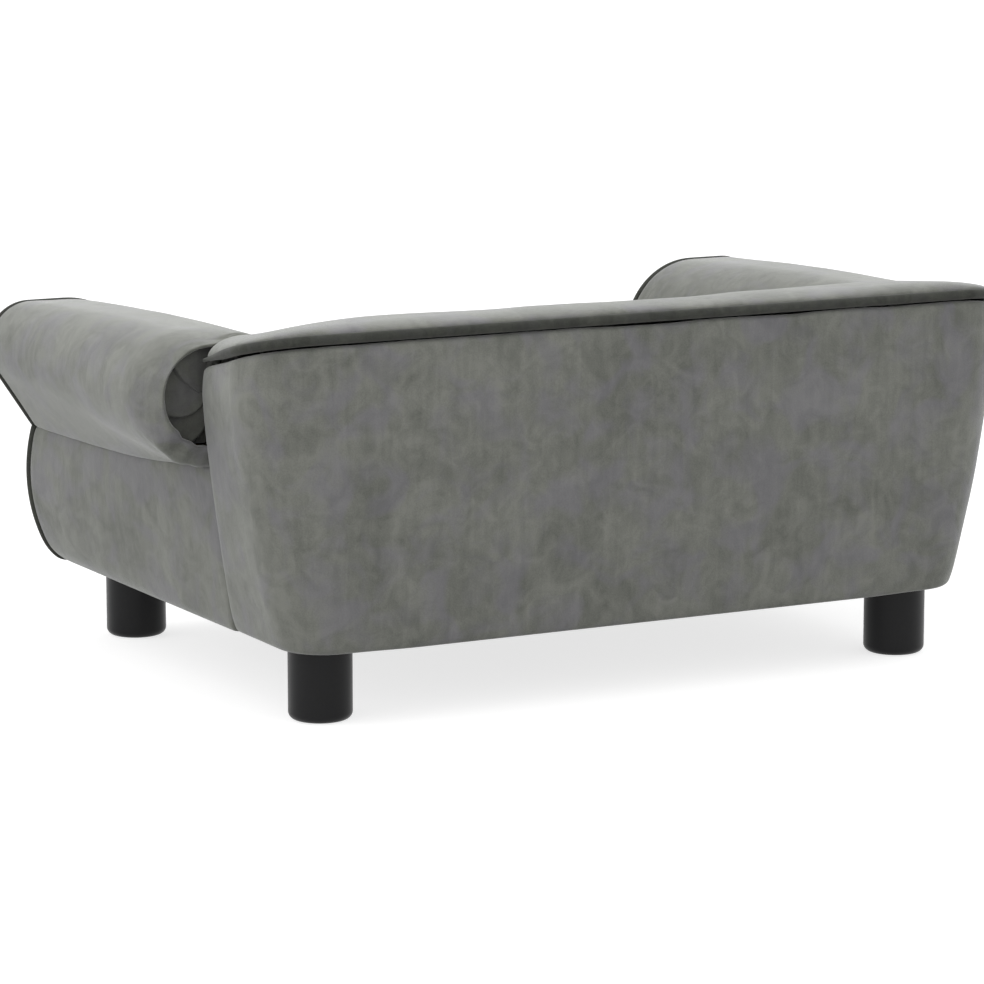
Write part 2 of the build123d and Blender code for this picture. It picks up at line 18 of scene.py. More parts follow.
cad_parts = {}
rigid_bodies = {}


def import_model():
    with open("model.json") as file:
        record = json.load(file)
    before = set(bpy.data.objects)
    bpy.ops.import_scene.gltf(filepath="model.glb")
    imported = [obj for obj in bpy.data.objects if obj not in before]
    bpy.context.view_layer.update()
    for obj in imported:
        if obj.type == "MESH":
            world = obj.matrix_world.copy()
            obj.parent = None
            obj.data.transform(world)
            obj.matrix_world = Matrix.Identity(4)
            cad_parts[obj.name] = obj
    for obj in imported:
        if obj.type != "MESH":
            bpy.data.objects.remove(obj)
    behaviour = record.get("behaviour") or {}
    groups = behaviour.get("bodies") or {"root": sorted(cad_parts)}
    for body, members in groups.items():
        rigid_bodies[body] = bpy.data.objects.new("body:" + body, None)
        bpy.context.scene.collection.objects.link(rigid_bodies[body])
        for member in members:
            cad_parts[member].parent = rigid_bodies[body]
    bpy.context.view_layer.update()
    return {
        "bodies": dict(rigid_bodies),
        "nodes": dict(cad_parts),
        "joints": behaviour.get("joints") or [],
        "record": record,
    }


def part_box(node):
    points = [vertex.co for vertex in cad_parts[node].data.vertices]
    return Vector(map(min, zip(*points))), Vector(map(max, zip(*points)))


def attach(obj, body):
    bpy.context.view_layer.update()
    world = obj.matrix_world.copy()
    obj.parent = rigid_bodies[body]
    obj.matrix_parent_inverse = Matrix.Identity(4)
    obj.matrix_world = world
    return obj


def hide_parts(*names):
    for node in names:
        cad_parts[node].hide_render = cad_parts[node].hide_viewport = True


MM = 0.001
LOG = logging.getLogger("sofa")
HEM_FADE = 14 * MM  # height above a hem over which the swells of the padding begin
WHITE = (1.0, 1.0, 1.0, 1.0)
LEAST_CORNER = 2 * MM  # corner radius that a shrunken outline keeps
Pair = tuple[float, float]
Colour = tuple[float, float, float]
Value = float | bpy.types.NodeSocket


def lerp(low: float, high: float, share: float) -> float:
    """Value at a share of the way from low to high."""
    return low + (high - low) * share


def between(first: Pair, last: Pair, share: float) -> Pair:
    """Point at a share of the way from the first to the last."""
    return lerp(first[0], last[0], share), lerp(first[1], last[1], share)


def ease(share: float) -> float:
    """Smooth step from 0 to 1 for a share that may lie outside."""
    share = max(0.0, min(1.0, share))
    return share * share * (3 - 2 * share)


def spread(low: float, high: float, count: int) -> list[float]:
    """Evenly spaced values from low to high, both included."""
    return [lerp(low, high, index / (count - 1)) for index in range(count)]


def arc(centre: Pair, radius: float, start: float, end: float, count: int) -> list[Pair]:
    """Points of a round arc between two angles.

    Args:
        centre: Middle of the circle.
        radius: Its radius.
        start: First angle in radians.
        end: Last angle in radians.
        count: Number of points.

    Returns:
        The points, both ends included.
    """
    x, y = centre
    return [(x + radius * cos(turn), y + radius * sin(turn)) for turn in spread(start, end, count)]


def arc_through(first: Pair, middle: Pair, last: Pair, count: int) -> list[Pair]:
    """Points of the arc from the first to the last point by way of the middle one.

    Args:
        first: Start of the arc.
        middle: A point on it.
        last: End of the arc.
        count: Number of points.

    Returns:
        The points, both ends included.
    """
    a, b, c = Vector(first), Vector(middle), Vector(last)
    ab, ac = b - a, c - a
    twice = 2 * (ab.x * ac.y - ab.y * ac.x)
    offset = Vector((ac.y * ab.length_squared - ab.y * ac.length_squared,
                     ab.x * ac.length_squared - ac.x * ab.length_squared)) / twice
    centre = a + offset
    start, via, end = [atan2(point.y - centre.y, point.x - centre.x) for point in (a, b, c)]
    turn = 1 if twice > 0 else -1
    via += turn * 2 * pi * (turn * (via - start) < 0)
    end += turn * 2 * pi * (turn * (end - start) < 0)
    return arc((centre.x, centre.y), offset.length, start, end, count)


def tangent_arc(start: Pair, direction: Vector, end: Pair, count: int) -> list[Pair]:
    """Points of the arc that leaves the start in a direction and reaches the end.

    Args:
        start: First point.
        direction: Direction of the arc there.
        end: Last point.
        count: Number of points.

    Returns:
        The points, both ends included.
    """
    chord = Vector(end) - Vector(start)
    lean = atan2(chord.y, chord.x) - atan2(direction.y, direction.x)
    lean = (lean + pi) % (2 * pi) - pi
    radius = chord.length / (2 * sin(lean))
    heading = atan2(direction.y, direction.x)
    centre = (start[0] - radius * sin(heading), start[1] + radius * cos(heading))
    return [(centre[0] + radius * sin(heading + turn), centre[1] - radius * cos(heading + turn))
            for turn in spread(0, 2 * lean, count)]


class Side(Enum):
    """The two sides of the sofa, as the sign of X."""

    RIGHT = 1
    LEFT = -1

    @property
    def label(self) -> str:
        """Ending of the names of that side's nodes."""
        return self.name.lower()


class Run(Enum):
    """The stretches of a wall that wraps round the rear corners."""

    WING = "wing"
    CORNER = "corner"
    REAR = "rear"


@dataclass(frozen=True)
class Swells:
    """Swells of padding under cloth: highest lift, width, stretch along each axis and pattern's shift."""

    lift: float
    width: float
    stretch: tuple[float, float, float]
    seed: float


class Skin:
    """A cover that grows by extruding one row of edges from station to station."""

    def __init__(self, closed: bool = False) -> None:
        """Starts an empty skin, whose rows are closed rings or open lines."""
        self.mesh = bmesh.new()
        self.closed = closed
        self.row: list[bmesh.types.BMVert] = []
        self.edges: list[bmesh.types.BMEdge] = []
        self.first_edges: list[bmesh.types.BMEdge] = []

    def add(self, points: Sequence[Vector]) -> None:
        """Adds one row of points, joined to the row before it.

        Args:
            points: As many points as the first row had.
        """
        if not self.row:
            self.row = [self.mesh.verts.new(point) for point in points]
            pairs = list(zip(self.row, self.row[1:]))
            if self.closed:
                pairs.append((self.row[-1], self.row[0]))
            self.edges = [self.mesh.edges.new(pair) for pair in pairs]
            self.first_edges = list(self.edges)
            return
        made = bmesh.ops.extrude_edge_only(self.mesh, edges=self.edges)["geom"]
        fresh = {item for item in made if isinstance(item, bmesh.types.BMVert)}
        row = []
        for vert, point in zip(self.row, points):
            others = (edge.other_vert(vert) for edge in vert.link_edges)
            grown = next(other for other in others if other in fresh)
            grown.co = point
            row.append(grown)
        self.edges = [item for item in made if isinstance(item, bmesh.types.BMEdge)
                      and all(vert in fresh for vert in item.verts)]
        self.row = row

    def join_ends(self) -> None:
        """Bridges the last row to the first one, for a skin that closes on itself."""
        bmesh.ops.bridge_loops(self.mesh, edges=self.edges + self.first_edges)

    def close_row(self, edges: Iterable[bmesh.types.BMEdge]) -> None:
        """Fills the opening inside a closed row."""
        made = bmesh.ops.contextual_create(self.mesh, geom=list(edges))["faces"]
        bmesh.ops.triangulate(self.mesh, faces=made)

    def close_both(self) -> None:
        """Fills the openings of the first and the last row."""
        self.close_row(self.first_edges)
        self.close_row(self.edges)

    def face_away(self, middle: Vector) -> None:
        """Turns the faces so that most of them look away from a point.

        Args:
            middle: A point behind the skin.
        """
        self.mesh.normal_update()
        facing = sum(face.normal.dot(face.calc_center_median() - middle) * face.calc_area()
                     for face in self.mesh.faces)
        if facing < 0:
            bmesh.ops.reverse_faces(self.mesh, faces=self.mesh.faces)
        self.mesh.normal_update()

    def rumple(self, hem: float, swells: Swells) -> None:
        """Lifts the skin here and there, as soft padding does under cloth.

        Args:
            hem: Height of the hem, which stays as it is.
            swells: What the swells are like.
        """
        broad, fine = Vector((swells.seed, 0, 0)), Vector((0, swells.seed, 0))
        stretch = Vector(swells.stretch)
        self.mesh.normal_update()
        for vert in self.mesh.verts:
            place = Vector([value / swells.width / long for value, long in zip(vert.co, stretch)])
            swell = noise.noise(place + broad) + 0.4 * noise.noise(2.3 * place - fine)
            fade = ease((vert.co.z - hem) / HEM_FADE)
            vert.co += vert.normal * swells.lift * ease(0.5 + 0.6 * swell) * fade

    def build(self, name: str) -> bpy.types.Object:
        """Turns the skin into an object with smooth shading."""
        piece = mesh_object(name, self.mesh)
        piece.data.shade_smooth()
        return piece

    def sew(self, name: str, cloth: float) -> bpy.types.Object:
        """Turns the skin into a piece of cloth with a thickness and a soft surface.

        Args:
            name: Name of the piece.
            cloth: Its thickness.

        Returns:
            The new object.
        """
        piece = self.build(name)
        thicken(piece, cloth)
        soften(piece)
        return piece


def new_object(name: str, data: bpy.types.ID) -> bpy.types.Object:
    """A new object of the scene, with its data."""
    made = bpy.data.objects.new(name, data)
    bpy.context.scene.collection.objects.link(made)
    return made


def mesh_object(name: str, mesh: bmesh.types.BMesh) -> bpy.types.Object:
    """A new object of the scene with the mesh, which is freed."""
    data = bpy.data.meshes.new(name)
    mesh.to_mesh(data)
    mesh.free()
    return new_object(name, data)


def thicken(piece: bpy.types.Object, cloth: float) -> None:
    """Gives an open skin its thickness, inwards."""
    wall = piece.modifiers.new("cloth_thickness", "SOLIDIFY")
    wall.thickness = cloth
    wall.offset = -1


def soften(piece: bpy.types.Object) -> None:
    """Adds one subdivision, the same in the view and in the render."""
    smooth = piece.modifiers.new("soft_surface", "SUBSURF")
    smooth.levels = 1
    smooth.render_levels = 1


def place_piece(piece: bpy.types.Object, material: bpy.types.Material, body: str,
                nodes: Sequence[str] = ()) -> bpy.types.Object:
    """Dresses a piece and ties it to the frame.

    Args:
        piece: The finished object.
        material: Its material.
        body: The body that it moves with.
        nodes: The nodes of the frame that it stands for.

    Returns:
        The same object.
    """
    piece.data.materials.clear()
    piece.data.materials.append(material)
    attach(piece, body)
    if nodes:
        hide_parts(*nodes)
    LOG.info("made %s on %s with %d faces", piece.name, body, len(piece.data.polygons))
    return piece


def tube(path: Sequence[Vector], radius: Callable[[float], float], closed: bool, sides: int = 14) -> Skin:
    """A round cord along a path, with its own map around and along it.

    Args:
        path: Points of the centre line, evenly spaced.
        radius: Radius at a share of the length.
        closed: Whether the path closes on itself.
        sides: Points around the cord.

    Returns:
        The skin of the cord.
    """
    skin = Skin(closed=True)
    count = len(path)
    across = None
    for index, point in enumerate(path):
        before = path[index - 1] if closed or index else point
        after = path[(index + 1) % count] if closed or index < count - 1 else point
        ahead = (after - before).normalized()
        if across is None:
            across = ahead.orthogonal()
        across = (across - ahead * across.dot(ahead)).normalized()
        other = ahead.cross(across)
        size = radius(index / (count - 1))
        skin.add([point + size * (cos(turn) * across + sin(turn) * other)
                  for turn in spread(0, 2 * pi, sides + 1)[:-1]])
    if closed:
        skin.join_ends()
    else:
        skin.close_both()
    bmesh.ops.recalc_face_normals(skin.mesh, faces=skin.mesh.faces)
    return skin


@dataclass(frozen=True)
class Plan:
    """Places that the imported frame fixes, and how the seam between arm and wing leans back."""

    half_seat: float
    half_top: float
    arm_front: float
    rail_front: float
    rail_rear: float
    seam: float
    well_rear: float
    rear: float
    ground: float
    deck: float
    seam_rise: float = 205 * MM
    seam_shifts: Pair = (-1 * MM, 8 * MM)
    seam_bow: float = 0.6

    @classmethod
    def from_frame(cls) -> "Plan":
        """Reads the places from the boxes of the frame's nodes."""
        deck_low, deck_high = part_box("seat_deck_cover")
        back_low, back_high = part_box("back_outer_cover")
        arm_low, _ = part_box("arm_cover_right")
        rail_low, rail_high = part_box("front_rail_cover")
        return cls(
            half_seat=deck_high.x, half_top=back_high.x, arm_front=arm_low.y, rail_front=rail_low.y,
            rail_rear=deck_low.y, seam=back_low.y, well_rear=deck_high.y, rear=back_high.y,
            ground=rail_low.z, deck=rail_high.z,
        )

    def seam_line(self, z: float) -> float:
        """Depth of the seam between arm and wing at a height: it leans back as it rises."""
        share = max(0.0, min(1.0, (z - self.ground) / self.seam_rise))
        return self.seam + lerp(*self.seam_shifts, share ** self.seam_bow)


@dataclass(frozen=True)
class Station:
    """A place along a wall that wraps round the rear corners."""

    run: Run
    share: float
    side: int


@dataclass(frozen=True)
class Outline:
    """Plan of such a wall: half its width, its front and rear ends, its corner radius and its splay."""

    half: float
    front: float
    rear: float
    corner: float
    splay: float = 0.0

    def grown(self, proud: float) -> "Outline":
        """The same wall, further out by a distance."""
        corner = max(self.corner + proud, LEAST_CORNER)
        return Outline(self.half + proud, self.front, self.rear + proud, corner, self.splay)

    def point(self, station: Station) -> Vector:
        """Plan point of a station, with z at 0."""
        wide = self.half + self.splay
        if station.run is Run.WING:
            y = lerp(self.front, self.rear - self.corner, station.share)
            return Vector((station.side * lerp(self.half, wide, station.share), y, 0))
        if station.run is Run.CORNER:
            turn = station.share * pi / 2
            x = wide - self.corner + self.corner * cos(turn)
            return Vector((station.side * x, self.rear - self.corner + self.corner * sin(turn), 0))
        return Vector((station.side * (wide - self.corner) * (1 - station.share), self.rear, 0))

    def stations(self, step: float) -> list[Station]:
        """Stations from the right wing's front to the left wing's, about a step apart."""
        lengths = ((Run.WING, self.rear - self.corner - self.front), (Run.CORNER, self.corner * pi / 2),
                   (Run.REAR, self.half - self.corner))
        right = [Station(Run.WING, 0.0, 1)]
        for run, length in lengths:
            count = round(length / step) + 1
            right += [Station(run, share, 1) for share in spread(0, 1, count)[1:]]
        return right + [Station(place.run, place.share, -1) for place in right[-2::-1]]


# Finishes


class Graph:
    """Adds and links the nodes of one tree."""

    def __init__(self, tree: bpy.types.NodeTree) -> None:
        """Keeps the tree."""
        self.tree = tree

    def node(self, kind: str, inputs: dict | None = None, **settings: object) -> bpy.types.Node:
        """Adds a node.

        Args:
            kind: Type of the node.
            inputs: Values or sockets for its inputs, by name or number.
            settings: Its own settings.

        Returns:
            The node.
        """
        made = self.tree.nodes.new(kind)
        for name, value in settings.items():
            setattr(made, name, value)
        self.feed(made, inputs or {})
        return made

    def feed(self, node: bpy.types.Node, inputs: dict) -> None:
        """Sets or links inputs of a node.

        Args:
            node: The node.
            inputs: Values or sockets, by name or number of the input.
        """
        for name, value in inputs.items():
            if isinstance(value, bpy.types.NodeSocket):
                self.tree.links.new(value, node.inputs[name])
            else:
                node.inputs[name].default_value = value

    def math(self, operation: str, *values: Value) -> bpy.types.NodeSocket:
        """Result of a Math node."""
        return self.node("ShaderNodeMath", dict(enumerate(values)), operation=operation).outputs[0]

    def total(self, *parts: tuple[bpy.types.NodeSocket, float]) -> bpy.types.NodeSocket:
        """Sum of sockets, each with its weight."""
        first, *others = [self.math("MULTIPLY", value, weight) for value, weight in parts]
        for other in others:
            first = self.math("ADD", first, other)
        return first

    def mix(self, factor: Value, first: object, second: object) -> bpy.types.NodeSocket:
        """Mix of two colours."""
        return self.node("ShaderNodeMix", {0: factor, 6: first, 7: second}, data_type="RGBA").outputs[2]

    def noise(self, vector: bpy.types.NodeSocket, scale: float, detail: float,
              distortion: float = 0.0) -> bpy.types.NodeSocket:
        """Value of a noise texture."""
        made = self.node("ShaderNodeTexNoise", {"Vector": vector, "Scale": scale, "Detail": detail,
                                                "Distortion": distortion})
        return made.outputs["Fac"]

    def stretch(self, vector: bpy.types.NodeSocket, scale: Sequence[float]) -> bpy.types.NodeSocket:
        """Coordinates scaled along each axis."""
        return self.node("ShaderNodeMapping", {"Vector": vector, "Scale": scale}).outputs[0]

    def enlarge(self, vector: bpy.types.NodeSocket, scale: bpy.types.NodeSocket) -> bpy.types.NodeSocket:
        """Coordinates scaled by a value."""
        return self.node("ShaderNodeVectorMath", {0: vector, 3: scale}, operation="SCALE").outputs[0]

    def remap(self, value: bpy.types.NodeSocket, low: float, high: float, to_low: Value,
              to_high: Value) -> bpy.types.NodeSocket:
        """Value moved from one range to another, and kept inside it."""
        made = self.node("ShaderNodeMapRange", {"Value": value, "From Min": low, "From Max": high,
                                                "To Min": to_low, "To Max": to_high})
        return made.outputs[0]


def rgba(colour: Colour) -> tuple[float, float, float, float]:
    """The colour with full alpha."""
    return (*colour, 1.0)


class EffectGroups:
    """Node groups that several finishes share, each built once."""

    made: dict[str, bpy.types.NodeTree] = {}

    @classmethod
    def tree(cls, name: str, inputs: Sequence[tuple[str, str, object]], outputs: Sequence[tuple[str, str]],
             ) -> tuple[bpy.types.NodeTree, Graph, bpy.types.Node, bpy.types.Node]:
        """Starts a group with named sockets.

        Args:
            name: Name of the group.
            inputs: Name, socket type and default of each input.
            outputs: Name and socket type of each output.

        Returns:
            The tree, its graph, its input node and its output node.
        """
        tree = bpy.data.node_groups.new(name, "ShaderNodeTree")
        for label, kind, default in inputs:
            socket = tree.interface.new_socket(label, in_out="INPUT", socket_type=kind)
            if default is not None:
                socket.default_value = default
        for label, kind in outputs:
            tree.interface.new_socket(label, in_out="OUTPUT", socket_type=kind)
        graph = Graph(tree)
        return tree, graph, graph.node("NodeGroupInput"), graph.node("NodeGroupOutput")

    @classmethod
    def nap(cls) -> bpy.types.NodeTree:
        """Brushed pile: clouds and strokes of lighter and darker nap, and the pile's fine relief."""
        if "nap" in cls.made:
            return cls.made["nap"]
        tree, graph, start, end = cls.tree(
            "brushed_nap",
            [("Vector", "NodeSocketVector", None), ("Light", "NodeSocketColor", None),
             ("Dark", "NodeSocketColor", None), ("Tint", "NodeSocketColor", None),
             ("Cloud Scale", "NodeSocketFloat", 9.0), ("Contrast", "NodeSocketFloat", 1.0)],
            [("Color", "NodeSocketColor"), ("Height", "NodeSocketFloat")],
        )
        out = start.outputs
        vector = out["Vector"]
        scaled = graph.enlarge(vector, out["Cloud Scale"])
        clouds = graph.noise(scaled, 1.0, 5.0, 0.9)
        patches = graph.noise(scaled, 3.7, 6.0, 1.4)
        strokes = graph.noise(graph.stretch(vector, (150.0, 150.0, 20.0)), 1.0, 3.0, 0.6)
        pile = graph.noise(vector, 950.0, 2.0)
        fuzz = graph.noise(vector, 2700.0, 1.0)
        blend = graph.total((graph.total((clouds, 0.5), (patches, 0.5)), 0.8), (strokes, 0.2))
        shade = graph.math("SUBTRACT", graph.remap(blend, 0.36, 0.64, 0.0, 1.0), 0.5)
        shade = graph.math("ADD", graph.math("MULTIPLY", shade, out["Contrast"]), 0.5)
        grain = graph.math("MULTIPLY", graph.math("SUBTRACT", pile, 0.5), 0.9)
        shade = graph.node("ShaderNodeClamp", {0: graph.math("ADD", shade, grain)}).outputs[0]
        colour = graph.mix(shade, out["Dark"], out["Light"])
        tint = graph.remap(graph.noise(scaled, 2.3, 4.0, 0.6), 0.47, 0.62, 0.0, 0.6)
        colour = graph.mix(tint, colour, graph.mix(0.6, colour, out["Tint"]))
        relief = graph.total((pile, 0.55), (fuzz, 0.3), (strokes, 0.35), (patches, 0.5))
        graph.feed(end, {"Color": colour, "Height": relief})
        cls.made["nap"] = tree
        return tree

    @classmethod
    def speckle(cls) -> bpy.types.NodeTree:
        """Fine grain in two sizes, for moulded, cut and sprayed surfaces."""
        if "speckle" in cls.made:
            return cls.made["speckle"]
        tree, graph, start, end = cls.tree(
            "fine_speckle",
            [("Vector", "NodeSocketVector", None), ("Scale", "NodeSocketFloat", 300.0),
             ("Low", "NodeSocketFloat", 0.3), ("High", "NodeSocketFloat", 0.5)],
            [("Value", "NodeSocketFloat"), ("Height", "NodeSocketFloat")],
        )
        scaled = graph.enlarge(start.outputs["Vector"], start.outputs["Scale"])
        fine = graph.noise(scaled, 1.0, 4.0)
        broad = graph.noise(scaled, 0.07, 3.0, 0.7)
        both = graph.total((fine, 0.4), (broad, 0.6))
        value = graph.remap(both, 0.3, 0.7, start.outputs["Low"], start.outputs["High"])
        graph.feed(end, {"Value": value, "Height": fine})
        cls.made["speckle"] = tree
        return tree


def new_material(name: str, colour: Colour) -> tuple[bpy.types.Material, Graph, bpy.types.Node]:
    """Starts a material.

    Args:
        name: Its name.
        colour: Its plain colour, for a view without textures.

    Returns:
        The material, its graph and its Principled node.
    """
    material = bpy.data.materials.new(name)
    material.use_nodes = True
    material.diffuse_color = rgba(colour)
    graph = Graph(material.node_tree)
    return material, graph, material.node_tree.nodes["Principled BSDF"]


@dataclass(frozen=True)
class Plush:
    """Short-pile plush, brushed this way and that."""

    name: str
    light: Colour
    dark: Colour
    tint: Colour
    cloud_scale: float = 12.0
    contrast: float = 1.15
    sheen: float = 0.8
    sheen_roughness: float = 0.4
    sheen_tint: Colour = (0.86, 0.87, 0.86)
    roughness: float = 0.92
    specular: float = 0.12
    relief: float = 0.45
    pile: float = 0.7 * MM

    def build(self) -> bpy.types.Material:
        """Makes the material."""
        material, graph, shader = new_material(self.name, self.light)
        place = graph.node("ShaderNodeTexCoord").outputs["Object"]
        nap = graph.node("ShaderNodeGroup", node_tree=EffectGroups.nap())
        graph.feed(nap, {
            "Vector": place, "Light": rgba(self.light), "Dark": rgba(self.dark), "Tint": rgba(self.tint),
            "Cloud Scale": self.cloud_scale, "Contrast": self.contrast,
        })
        bump = graph.node("ShaderNodeBump", {"Strength": self.relief, "Distance": self.pile,
                                             "Height": nap.outputs["Height"]})
        graph.feed(shader, {
            "Base Color": nap.outputs["Color"], "Normal": bump.outputs[0], "Roughness": self.roughness,
            "Specular IOR Level": self.specular, "Sheen Weight": self.sheen,
            "Sheen Roughness": self.sheen_roughness, "Sheen Tint": rgba(self.sheen_tint),
        })
        return material


@dataclass(frozen=True)
class Grained:
    """A hard or matt surface with a fine grain: plastic, metal, wood, foam or felted cloth."""

    name: str
    colour: Colour
    second: Colour
    grain_scale: float
    rough_low: float
    rough_high: float
    relief: float
    metallic: float = 0.0
    specular: float = 0.5
    stretch: tuple[float, float, float] = (1.0, 1.0, 1.0)
    grain_depth: float = 0.3 * MM

    def build(self) -> bpy.types.Material:
        """Makes the material."""
        material, graph, shader = new_material(self.name, self.colour)
        place = graph.stretch(graph.node("ShaderNodeTexCoord").outputs["Object"], self.stretch)
        grain = graph.node("ShaderNodeGroup", node_tree=EffectGroups.speckle())
        graph.feed(grain, {"Vector": place, "Scale": self.grain_scale, "Low": self.rough_low,
                           "High": self.rough_high})
        bump = graph.node("ShaderNodeBump", {"Strength": self.relief, "Distance": self.grain_depth,
                                             "Height": grain.outputs["Height"]})
        share = graph.remap(grain.outputs["Value"], self.rough_low, self.rough_high, 0.0, 1.0)
        graph.feed(shader, {
            "Base Color": graph.mix(share, rgba(self.colour), rgba(self.second)),
            "Roughness": grain.outputs["Value"], "Normal": bump.outputs[0],
            "Metallic": self.metallic, "Specular IOR Level": self.specular,
        })
        return material


class Wardrobe:
    """Every finish of the sofa, under the record's slot names."""

    def __init__(self) -> None:
        """Builds the materials."""
        self.plush = Plush("grey_plush", light=(0.236, 0.241, 0.216), dark=(0.142, 0.147, 0.130),
                           tint=(0.215, 0.203, 0.252)).build()
        self.piping = Plush("dark_piping", light=(0.075, 0.078, 0.067), dark=(0.045, 0.047, 0.041),
                            tint=(0.06, 0.06, 0.06), cloud_scale=30.0, sheen=0.3).build()
        # The end caps' plush is darker than the grey plush: painted shade of the recess in the roll's end,
        # partly also the gathered pile's own darker look
        self.cap_plush_painted_shade = Plush("recess_painted_shade_plush", light=(0.160, 0.164, 0.147), dark=(0.108, 0.111, 0.099),
                                 tint=(0.135, 0.130, 0.150), cloud_scale=20.0, sheen=0.2).build()
        self.felt = Grained("black_underside_cloth", (0.016, 0.016, 0.017), (0.03, 0.03, 0.031), 900.0,
                            0.8, 1.0, 0.5).build()
        self.foot = Grained("black_foot", (0.006, 0.006, 0.0065), (0.010, 0.010, 0.011), 420.0,
                            0.3, 0.44, 0.06, specular=0.2).build()
        self.foam = Grained("foam", (0.76, 0.72, 0.58), (0.68, 0.63, 0.48), 700.0, 0.85, 1.0, 0.6).build()
        self.wadding = Grained("wadding", (0.85, 0.85, 0.84), (0.75, 0.75, 0.74), 300.0, 0.9, 1.0,
                               0.8).build()
        self.plywood = Grained("plywood", (0.56, 0.40, 0.24), (0.46, 0.31, 0.17), 60.0, 0.55, 0.75, 0.3,
                               stretch=(1.0, 6.0, 6.0)).build()
        self.softwood = Grained("softwood", (0.66, 0.50, 0.31), (0.55, 0.38, 0.21), 60.0, 0.5, 0.7, 0.3,
                                stretch=(6.0, 1.0, 6.0)).build()
        self.steel = Grained("zinc_steel", (0.62, 0.62, 0.60), (0.50, 0.50, 0.49), 500.0, 0.25, 0.42, 0.1,
                             metallic=1.0).build()
        self.zip_cloth = Grained("zip_tape", (0.035, 0.036, 0.034), (0.06, 0.06, 0.058), 1500.0, 0.75, 0.95,
                                 0.5).build()
        self.zip_nylon = Grained("zip_coil", (0.03, 0.03, 0.03), (0.05, 0.05, 0.05), 500.0, 0.3, 0.45,
                                 0.1).build()
        self.zip_metal = Grained("zip_metal", (0.20, 0.20, 0.21), (0.13, 0.13, 0.14), 600.0, 0.22, 0.4, 0.1,
                                 metallic=1.0).build()

    def by_slot(self) -> dict[str, bpy.types.Material]:
        """The material of each slot of the record, for the nodes that stay."""
        return {
            "plush": self.plush, "piping": self.piping, "underside_cloth": self.felt, "foam": self.foam,
            "wadding": self.wadding, "plywood": self.plywood, "softwood": self.softwood,
            "foot_plastic": self.foot, "zinc_steel": self.steel, "zip_cloth": self.zip_cloth,
            "zip_nylon": self.zip_nylon, "zip_metal": self.zip_metal,
        }


# Sub-assemblies


@dataclass(frozen=True)
class RollSection:
    """Section of an arm's roll at one depth, as x and z."""

    centre: Pair
    radius: float
    seam: Pair

    @property
    def crest(self) -> float:
        """Height of its top."""
        return self.centre[1] + self.radius

    @property
    def last_turn(self) -> float:
        """Angle at which the outer arc leaves the circle towards the seam."""
        line = Vector(self.seam) - Vector(self.centre)
        return atan2(line.y, line.x) + acos(min(1.0, self.radius / line.length))


